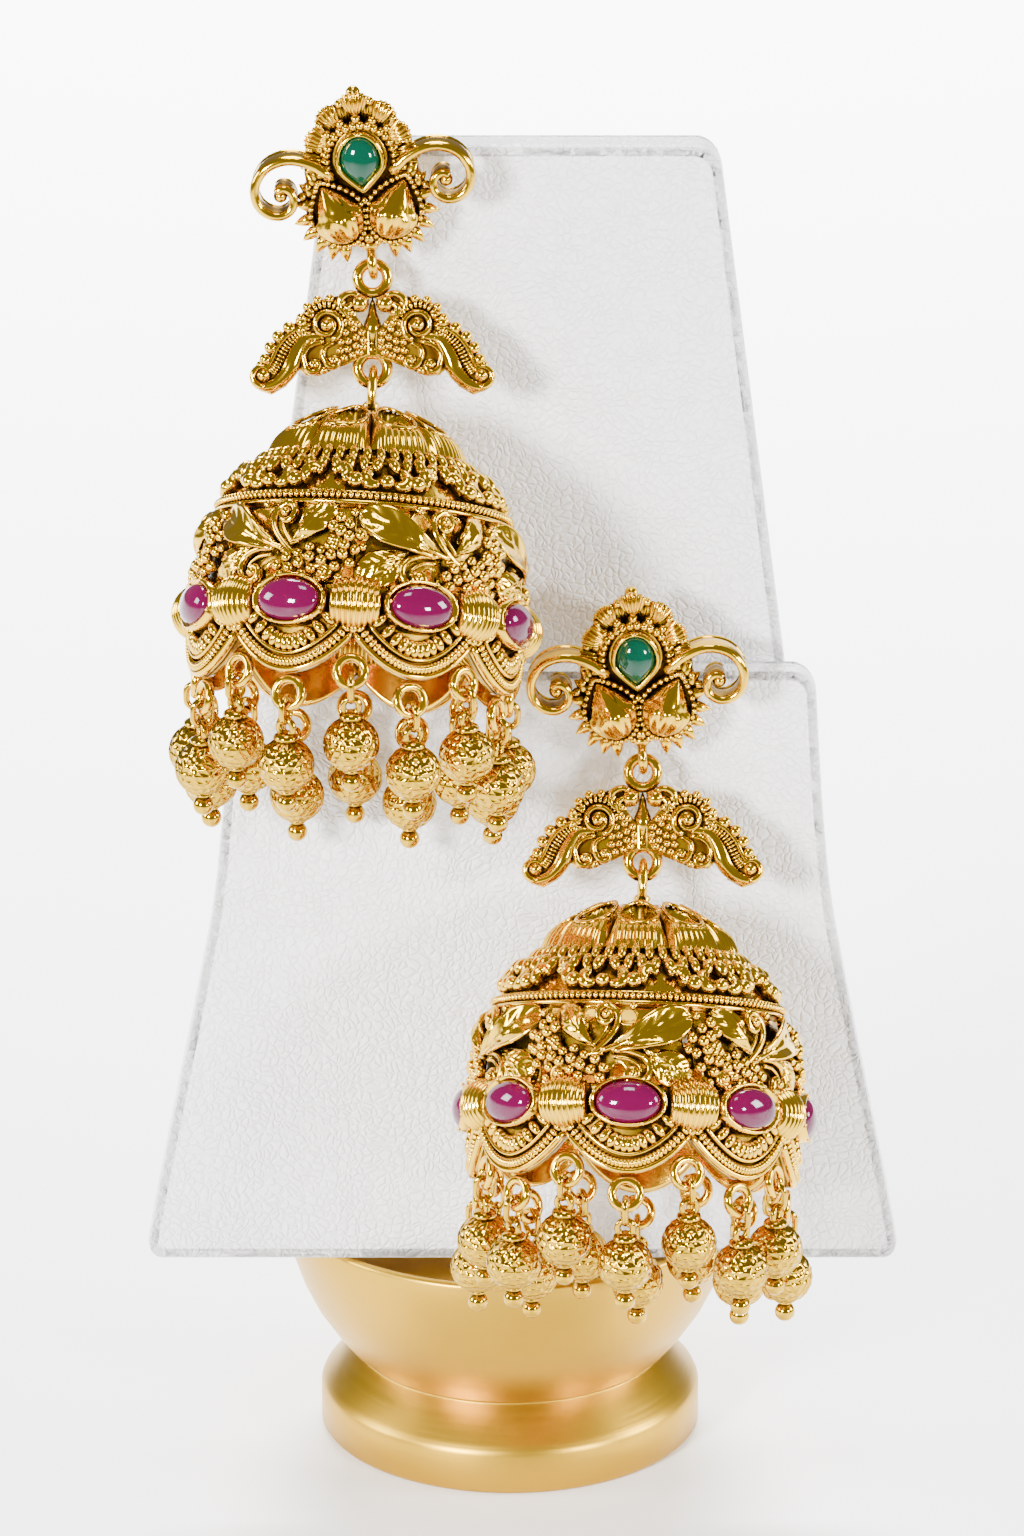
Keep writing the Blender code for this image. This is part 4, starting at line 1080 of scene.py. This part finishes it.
def ease_rims(bm, least_angle, offset, segments):
    """Bevels the rims of the front and the back where they turn by more than the angle."""
    rims = [e for e in bm.edges if len(e.link_faces) == 2 and e.calc_face_angle(0) > least_angle]
    rims = [e for e in rims if abs(e.verts[0].co.y - e.verts[1].co.y) < 1e-4]
    bmesh.ops.bevel(
        bm, geom=rims, offset=offset, affect="EDGES", segments=segments, profile=0.5, material=-1
    )


def cut_plate(outline, thick, bevel):
    """A flat plate round the given (x, z) points, its middle on the XZ plane."""
    bm = bmesh.new()
    corners = [bm.verts.new((x, -thick / 2, z)) for x, z in outline]
    for a, b in zip(corners, corners[1:] + corners[:1]):
        bm.edges.new((a, b))
    bmesh.ops.triangle_fill(bm, edges=bm.edges[:], use_dissolve=True, use_beauty=True)
    extrude_back(bm, thick)
    bmesh.ops.recalc_face_normals(bm, faces=bm.faces)
    bm.normal_update()
    ease_rims(bm, 1.2, bevel, 2)
    return mesh_from(bm, smooth=False)


def make_crescent(side):
    bm = bmesh.new()
    link = ring(1.6, 0.6, 32, 12)
    for drop in (1.6, 11.3):
        put(bm, link, moved(0, 0, -drop), turned("X", 90))
    stem = [(0, -3.6), (0.35, -4.5), (0.5, -5.4), (0.9, -6.4), (1.0, -7.1), (0.75, -7.8), (0.38, -8.5)]
    stem += [(0.42, -8.8), (0.66, -9.2), (0.42, -9.7), (0, -9.9)]
    put(bm, turning(stem, 20))
    plate = cut_plate(HORN_PLATE, 1.8, 0.2)
    for hand in (-1, 1):
        mirror = scaled(hand, 1, 1)

        def add(mesh, *matrices, mirror=mirror):
            put(bm, mesh, mirror, *matrices)

        def grain(x, z, size, out=0.8, long=1.0, tilt=0.0):
            add(FINE_BEAD, moved(x, -out, z), turned("Y", tilt), scaled(size, size, size * long))

        def rail(points, widths, out, flatness=1.3):
            line = through(points, len(widths) - 1)
            add(strand(line, widths, flatness), moved(0, -out, 0))
            return line

        add(plate, moved(0, 0.1, 0))
        x, z = 4.9, -6.7
        curl = spiral(x, z, 1.75, 0.35, 250, -390, 36)
        add(strand(curl, tapered(37, 0.38, 0.28), 1.6), moved(0, -1.15, 0))
        grain(x, z, 0.68, 1.35)
        for k in range(17):
            tilt = -75 + 13.5 * k
            radial = (moved(x, -1.0, z), turned("Y", tilt))
            add(BEAD, *radial, moved(0, 0, 2.3), scaled(0.24, 0.42, 0.62))
            if k % 2:
                add(FINE_BEAD, *radial, moved(0, 0.1, 2.85), scaled(0.52, 0.55, 0.5))
        grain(1.35, -4.35, 1.0, 0.7)
        hook = ((1.5, -3.5), (2.4, -3.3), (3.3, -3.8), (3.5, -4.8), (2.9, -5.6))
        rail(hook, tapered(16, 0.34, 0.3, 0.45), 1.0)
        rail(((2.1, -4.3), (2.7, -4.9), (2.6, -6.0)), tapered(10, 0.3, 0.25, 0.42), 1.1)
        ribbon = ((5.2, -7.9), (7.0, -8.1), (8.1, -9.6), (8.9, -11.5), (10.1, -12.8), (11.5, -13.25))
        ribbon += ((12.5, -12.7),)
        rail(ribbon, tapered(34, 0.45, 0.42, 0.98), 0.9, 0.85)
        channel = through(((6.9, -7.2), (8.3, -7.95), (9.4, -9.25), (10.2, -10.9), (10.9, -11.9)), 18)
        for k in range(1, 18):
            along = (channel[k + 1] - channel[k - 1]).normalized()
            tilt = math.degrees(math.atan2(along.x, along.z))
            add(BEAD, moved(channel[k].x, -1.0, channel[k].z), turned("Y", tilt), scaled(0.60, 0.36, 0.17))
        border = ((6.6, -6.6), (8.6, -7.45), (9.95, -8.8), (10.85, -10.6), (11.4, -11.4))
        rail(border, tapered(24, 0.26, 0.24), 1.05)
        curl = spiral(11.7, -12.1, 1.2, 0.9, -100, 150, 14)
        add(strand(curl, tapered(15, 0.42, 0.28), 1.5), moved(0, -0.95, 0))
        grain(11.65, -12.05, 0.74, 1.05)
        for px, pz, size in HORN_BALLS:
            grain(px, pz, size, 0.75, 1.1, 45)
        for cx, cz, radius, first, last, lead in HORN_CURLS:
            curl = spiral(cx, cz, radius, 0.3, first, last, 16)
            line = list(through(lead + ((curl[0][0], curl[0][2]),), 12)) + curl[1:]
            add(strand(line, tapered(29, 0.30, 0.28, 0.38), 1.6), moved(0, -0.95, 0))
            grain(cx, cz, 0.42, 1.1)
        for px, pz in CLUSTER_GRAINS:
            grain(px, pz, 0.46, 1.0)
    finished(
        f"{side}_crescent_link", bm, crescent_place(side), f"{side}_crescent", Materials.get("crescent gold"),
        [f"{side}_crescent"],
    )


# The stud


STUD_PLATE = (
    # Half outline of the stud's back plate round the emerald's centre, in mm, from the top down
    (0.0, 5.8), (2.2, 5.4), (3.9, 4.3), (5.0, 2.4), (5.4, 0.6), (5.8, -1.2), (6.4, -3.0), (6.6, -5.0),
    (6.0, -7.2), (4.4, -8.9), (2.4, -9.5), (1.0, -9.3), (0.8, -10.2), (0.0, -10.2),
)
ARM_SCROLL = (
    # Angle in degrees and radius in mm of the scroll arm round its volute
    (165, 5.7), (130, 4.5), (90, 3.75), (45, 3.1), (0, 2.65), (-45, 2.35), (-90, 2.1), (-135, 1.7),
    (-180, 1.3), (-240, 0.95), (-300, 0.6),
)
TAIL_GRAINS = (
    # x and z round the emerald's centre, and radius, of the grains below the emerald
    (0, -4.5, 0.5), (0, -8.6, 0.62), (0.9, -9.2, 0.42), (-0.9, -9.2, 0.42), (0, -7.4, 0.42),
)
SIDE_GRAINS = (
    # The same for the grains between the emerald and the scroll arm
    (4.4, -1.3, 0.62), (5.3, -0.6, 0.5), (5.9, -2.4, 0.55), (3.9, 0.2, 0.55), (6.6, -3.4, 0.5),
)


def pear(t, half_w, half_h, point):
    """A point of a pear outline drawn to a point below, for t from 0 to 1."""
    angle = TAU * t
    x, z = math.sin(angle), math.cos(angle)
    narrow = 1.0 - point * max(0.0, -z) ** 1.7
    return (x * half_w * narrow, 0.0, z * half_h)


def bud():
    """A pear bud with a fluted lower half, a wavy edge and a smooth faceted tip."""
    bm = bmesh.new()
    bmesh.ops.create_uvsphere(bm, u_segments=56, v_segments=30, radius=1.0)
    for v in bm.verts:
        angle = math.atan2(v.co.y, v.co.x)
        high = v.co.z - 0.10 * math.cos(4 * angle)
        slim = 1 - 0.62 * max(0.0, v.co.z) ** 1.25
        if high < 0:
            flute = 1.0 + 0.17 * abs(math.sin(5 * angle)) * min(1, 0.3 - 4 * high)
        else:
            flute = 0.86 + 0.10 * abs(math.cos(2 * angle))
        v.co = (v.co.x * 2.15 * slim * flute, v.co.y * 2.1 * slim * flute, v.co.z * 3.05)
    return mesh_from(bm)


def make_stud(side):
    down = 10.6
    rise = down + 1.1
    front = -0.35
    bm = bmesh.new()
    outline = list(STUD_PLATE) + [(-x, z) for x, z in reversed(STUD_PLATE[1:-1])]
    put(bm, cut_plate(outline, 1.4, 0.2), moved(0, 0.8, rise))

    def add(mesh, *matrices):
        put(bm, mesh, moved(0, front, rise), *matrices)

    petal = fan(3.0, 0.5, 1.60, 6, 0.85, 0.3, 0.34)
    low_petal = fan(2.4, 0.5, 1.5, 6, 0.5, 0.3, 0.30)
    for k in range(7):
        tilt = -87 + 29 * k
        reach = (3.5, 3.6, 4.2, 4.9, 4.2, 3.6, 3.5)[k]
        add(petal, moved(0, 0.1 - 0.4 * (k % 2), 0.0), turned("Y", tilt), moved(0, 0, reach), turned("X", 12))
        if k < 6:
            reach = (3.3, 3.5, 4.3, 4.3, 3.5, 3.3)[k]
            add(low_petal, moved(0, 0.5, 0), turned("Y", tilt + 14.5), moved(0, 0, reach), turned("X", 10))
            add(BEAD, turned("Y", tilt + 14.5), moved(0, -0.5, reach + 2.2), scaled(0.5, 0.55, 0.5))
    add(FINE_BEAD, moved(0, -0.2, 7.3), scaled(0.78, 0.78, 0.78))
    for k in range(10):
        tilt = -104 + 23 * k
        for spread in (-6, 6):
            add(BEAD, turned("Y", tilt + spread), moved(0, -0.75, 3.75), scaled(0.50, 0.6, 0.62))
        add(BEAD, turned("Y", tilt + 11.5), moved(0, -0.55, 4.5), scaled(0.55, 0.6, 0.55))
    setting = [pear(k / 44, 2.4, 3.0, 0.72) for k in range(44)]
    add(closed_strand(setting, 0.33, 3.2), moved(0, -0.95, 0))
    setting = [pear(k / 44, 2.75, 3.4, 0.70) for k in range(44)]
    add(closed_strand(setting, 0.34, 2.2), moved(0, -0.4, 0))
    add(cabochon(2.5, 3.1, 0.35, 0.72), moved(0, -0.75, 0))
    for px, pz, size in TAIL_GRAINS:
        add(FINE_BEAD, moved(px, -0.6, pz), scaled(size, size, size))

    pear_bud = bud()
    sepal = turning([(0, -0.6), (0.5, -0.35), (0.62, 0.0), (0.48, 0.5), (0.2, 1.0), (0, 1.25)], 10)
    for hand in (-1, 1):
        mirror = scaled(hand, 1, 1)
        here = (mirror, moved(3.15, 0, -5.5), turned("Y", 23))
        add(pear_bud, *here, moved(0, -0.75, -0.1), scaled(1.13, 1.13, 1.13))
        border = [(x, y, -z) for x, y, z in (pear(k / 44, 2.75, 3.75, 0.62) for k in range(44))]
        add(closed_strand(border, 0.26, 2.4), *here, moved(0, -0.35, 0))
        for k in range(34):
            x, _, z = pear(k / 34, 2.85, 3.85, 0.62)
            add(BEAD, *here, moved(x, -1.0, -z), scaled(0.32, 0.36, 0.32))
        for k in range(11):
            t = 0.06 + 0.54 * k / 10
            x, _, z = pear(1 - t, 3.0, 4.0, 0.62)
            spread = math.degrees(math.atan2(-x, -z * 0.8))
            add(sepal, *here, moved(-x * 1.1, -0.2, -z * 1.1), turned("Y", spread), scaled(1.15, 1.0, 1.2))
        angles, radii = np.array(ARM_SCROLL).T
        points = []
        for turn in np.linspace(165, -300, 48):
            radius = float(np.interp(-turn, -angles, radii))
            angle = math.radians(turn)
            points.append((8.85 + radius * math.cos(angle), 0.0, -2.9 + radius * math.sin(angle)))
        add(strand(points, [0.40] * 48, 4.6), mirror, moved(0, 0.1, 0))
        add(strand(points, tapered(48, 0.56, 0.46), 1.0), mirror, moved(0, -1.7, 0))
        add(strand(points, tapered(48, 0.40, 0.34), 1.0), mirror, moved(0, 1.75, 0))
        add(FINE_BEAD, mirror, moved(8.85, -1.1, -2.9), scaled(0.75, 0.9, 0.75))
        for px, pz, size in SIDE_GRAINS:
            add(BEAD, mirror, moved(px, -0.4, pz), scaled(size, size, size))
    put(bm, ring(1.35, 0.5, 24, 10), turned("Y", 90))
    put(bm, turning([(0, 2.6), (1.0, 2.5), (1.05, 2.0), (0.7, 1.5), (0, 1.3)], 20))
    post = turning([(0, 0.8), (0.5, 0.75), (0.5, -5.4), (0, -5.6)], 12)
    put(bm, post, moved(0, 1.2, rise - 6.6), turned("X", 90))
    finished(
        f"{side}_stud_work", bm, seat_of(side), "stand", Materials.get("stud gold"),
        [f"{side}_stud"],
    )
    stone = bmesh.new()
    put(stone, cabochon(2.2, 2.8, 1.5, 0.70), moved(0, front - 1.0, rise))
    finished(
        f"{side}_emerald_stone", stone, seat_of(side), "stand", Materials.get("emerald"),
        [f"{side}_emerald"], 0,
    )


# The stand


def make_foot():
    sizes = bpy.context.scene.jhumka_stand
    foot, bowl = sizes.foot / MM, sizes.bowl / MM
    neck, neck_z, top = 17.7, 9.6, 27.6
    curve = ((0.06, 0.13), (0.16, 0.31), (0.25, 0.44), (0.33, 0.56), (0.50, 0.74), (0.70, 0.89), (0.86, 0.97))
    profile = [(0, top - 1.0), (bowl - 1.4, top - 1.0), (bowl - 0.9, top), (bowl - 0.35, top)]
    profile.append((bowl, top - 0.4))
    for high, wide in reversed(curve):
        profile.append((neck + (bowl - neck) * wide, neck_z + (top - neck_z) * high))
    profile += [(neck, neck_z + 0.15), (neck - 0.25, neck_z - 0.1), (neck + 0.15, neck_z - 0.35)]
    profile += [(foot - 0.9, 6.0), (foot - 0.3, 5.4), (foot, 4.7), (foot, 0.6), (foot - 0.35, 0.1)]
    profile.append((foot - 0.8, 0))
    profile.append((0, 0))
    bm = bmesh.new()
    put(bm, turning(profile, 128))
    piece = finished(
        "brass_foot", bm, Matrix.Identity(4), "stand", Materials.get("brass"), ["brass_base"], 0
    )
    bevel = piece.modifiers.new("Soft edges", "BEVEL")
    bevel.width = 0.0002
    bevel.segments = 2
    bevel.limit_method = "ANGLE"
    bevel.angle_limit = math.radians(40)


def pad_shape(height, half_at, thick, edge, corner_top, corner_foot):
    """A flared board standing on the XZ plane, its front at y = 0, rounded at its corners and edges."""
    rows = 56
    bm = bmesh.new()
    bmesh.ops.create_grid(bm, x_segments=34, y_segments=rows, size=1.0)
    for v in bm.verts:
        t = (v.co.y + 1) / 2
        z = height * (0.5 - 0.5 * math.cos(math.pi * t))
        half = half_at(z / height)
        if z > height - corner_top:
            over = z - (height - corner_top)
            half -= corner_top - math.sqrt(max(0.0, corner_top**2 - over**2))
        if z < corner_foot:
            under = corner_foot - z
            half -= corner_foot - math.sqrt(max(0.0, corner_foot**2 - under**2))
        u = math.sin(v.co.x * math.pi / 2)
        v.co = (u * half, 0, z)
    bmesh.ops.reverse_faces(bm, faces=[f for f in bm.faces if f.normal.y > 0])
    extrude_back(bm, thick)
    bmesh.ops.remove_doubles(bm, verts=bm.verts, dist=1e-3)
    bmesh.ops.recalc_face_normals(bm, faces=bm.faces)
    ease_rims(bm, 0.9, edge, 4)
    return bm


def make_pads():
    sizes = bpy.context.scene.jhumka_stand
    edge = sizes.edge / MM
    seat = Matrix.Translation((0.0014, -0.0186, 0.0279)) @ turned("X", -PAD_LEAN)
    flare = ((0, 1.0), (0.10, 0.88), (0.27, 0.65), (0.44, 0.42), (0.61, 0.20), (0.78, 0.09), (1.0, 0.0))
    share, out = np.array(flare).T
    fine = np.linspace(0, 1, 201)
    padded = np.pad(np.interp(fine, share, out), 12, "reflect", reflect_type="odd")
    smooth = np.convolve(padded, np.ones(25) / 25, "valid")

    def lower_half(t):
        return 31.8 + 10.2 * float(np.interp(t, fine, smooth))

    def upper_half(t):
        return 37.5 - 16.5 * t

    lower = pad_shape(68.8, lower_half, 3.5, edge, 2.7, 2.0)
    upper = pad_shape(126.6, upper_half, 5.0, edge, 2.7, 2.0)
    bmesh.ops.translate(upper, verts=upper.verts, vec=(0, 3.8, 0))
    for name, bm, slot in (("lower_pad", lower, "lower_leather"), ("upper_pad", upper, "upper_leather")):
        piece = finished(f"{name}_leather", bm, seat, "stand", Materials.get("leather"), [name], 0)


# Light, floor and camera


def make_stage():
    bm = bmesh.new()
    bmesh.ops.create_grid(bm, x_segments=1, y_segments=1, size=4.0)
    mesh = mesh_from(bm, "floor")
    material, shader, _ = principled("pale floor")
    shader.inputs["Base Color"].default_value = (0.93, 0.93, 0.93, 1)
    shader.inputs["Roughness"].default_value = 0.6
    mesh.materials.append(material)
    floor = bpy.data.objects.new("floor", mesh)
    bpy.context.scene.collection.objects.link(floor)

    world = bpy.data.worlds.new("Studio")
    bpy.context.scene.world = world
    world.use_nodes = True
    world.node_tree.nodes["Background"].inputs["Color"].default_value = (1, 1, 1, 1)
    world.node_tree.nodes["Background"].inputs["Strength"].default_value = 0.28
    power = bpy.context.scene.jhumka_finishes.key_power
    piece = Vector((0, -0.02, 0.09))
    for name, place, aim, size, spread, share in (
        ("key", (-0.65, -1.05, 0.50), piece, 0.25, 70, 0.21),
        ("fill", (0.90, -0.90, 0.40), piece, 0.20, 70, 0.08),
        ("top", (0.0, -0.15, 1.1), piece, 0.30, 90, 0.04),
        ("left side", (-1.1, -0.1, 0.45), piece, 0.4, 70, 0.07),
        ("right side", (1.1, -0.1, 0.45), piece, 0.4, 70, 0.09),
        ("back", (0.0, 1.35, 1.3), Vector((0, 0.78, 0)), 0.9, 58, 1.5),
    ):
        lamp = bpy.data.lights.new(name, "AREA")
        lamp.energy = power * share
        lamp.size = size
        lamp.spread = math.radians(spread)
        obj = bpy.data.objects.new(name, lamp)
        obj.location = place
        obj.rotation_euler = (aim - Vector(place)).to_track_quat("-Z", "Y").to_euler()
        bpy.context.scene.collection.objects.link(obj)

    camera = bpy.data.cameras.new("camera")
    camera.sensor_width = 36.0
    camera.lens = 207.07
    camera.clip_end = 10.0
    camera.shift_x = 0.0013
    camera.shift_y = 0.0553
    obj = bpy.data.objects.new("camera", camera)
    pitch = math.radians(21.5)
    target = Vector((0, -0.033, 0.082))
    obj.location = target + 0.95 * Vector((0, -math.cos(pitch), math.sin(pitch)))
    obj.rotation_euler = (math.pi / 2 - pitch, 0, 0)
    bpy.context.scene.collection.objects.link(obj)
    bpy.context.scene.camera = obj


# The add-on


class JhumkaBuilder:
    bl_options = {"REGISTER", "UNDO"}

    def execute(self, context):
        self.build()
        return {"FINISHED"}


class JHUMKA_OT_studs(JhumkaBuilder, bpy.types.Operator):
    """Build both studs with their emeralds"""

    bl_idname = "jhumka.studs"
    bl_label = "Studs"

    def build(self):
        for side in SIDES:
            make_stud(side)


class JHUMKA_OT_crescents(JhumkaBuilder, bpy.types.Operator):
    """Build both crescent links"""

    bl_idname = "jhumka.crescents"
    bl_label = "Crescents"

    def build(self):
        for side in SIDES:
            make_crescent(side)


class JHUMKA_OT_bells(JhumkaBuilder, bpy.types.Operator):
    """Build both pierced bells with their rubies"""

    bl_idname = "jhumka.bells"
    bl_label = "Bells"

    def build(self):
        for side in SIDES:
            make_bell(side)


class JHUMKA_OT_drops(JhumkaBuilder, bpy.types.Operator):
    """Build the fringe of ball drops under both bells"""

    bl_idname = "jhumka.drops"
    bl_label = "Drops"

    def build(self):
        for side in SIDES:
            make_drops(side)


class JHUMKA_OT_stand(JhumkaBuilder, bpy.types.Operator):
    """Build the leather boards and the turned brass foot"""

    bl_idname = "jhumka.stand"
    bl_label = "Stand"

    def build(self):
        make_foot()
        make_pads()


class JHUMKA_OT_stage(JhumkaBuilder, bpy.types.Operator):
    """Build the floor, the lamps and the camera"""

    bl_idname = "jhumka.stage"
    bl_label = "Stage"

    def build(self):
        make_stage()


class JHUMKA_PT_panel(bpy.types.Panel):
    """Sizes, finishes and builders of the earrings"""

    bl_label = "Jhumka earrings"
    bl_idname = "JHUMKA_PT_panel"
    bl_space_type = "VIEW_3D"
    bl_region_type = "UI"
    bl_category = "Jhumka"

    def draw(self, context):
        layout = self.layout
        for label in SETTINGS:
            group = getattr(context.scene, label)
            box = layout.box()
            for prop in group.bl_rna.properties:
                if prop.identifier not in {"rna_type", "name"}:
                    box.prop(group, prop.identifier)
        for operator in OPERATORS:
            layout.operator(operator.bl_idname)


SETTINGS = {
    "jhumka_bell": BellSizes,
    "jhumka_drop": DropSizes,
    "jhumka_stand": StandSizes,
    "jhumka_finishes": Finishes,
}
OPERATORS = (
    JHUMKA_OT_stage, JHUMKA_OT_stand, JHUMKA_OT_studs, JHUMKA_OT_crescents, JHUMKA_OT_bells, JHUMKA_OT_drops
)


def register():
    for cls in (*SETTINGS.values(), *OPERATORS, JHUMKA_PT_panel):
        bpy.utils.register_class(cls)
    for label, cls in SETTINGS.items():
        setattr(bpy.types.Scene, label, PointerProperty(type=cls))


def unregister():
    for label in SETTINGS:
        delattr(bpy.types.Scene, label)
    for cls in (JHUMKA_PT_panel, *reversed(OPERATORS), *reversed(list(SETTINGS.values()))):
        bpy.utils.unregister_class(cls)


def main():
    register()
    bpy.ops.jhumka.stage()
    bpy.ops.jhumka.stand()
    bpy.ops.jhumka.studs()
    bpy.ops.jhumka.crescents()
    bpy.ops.jhumka.bells()
    bpy.ops.jhumka.drops()


if __name__ == "__main__":
    main()
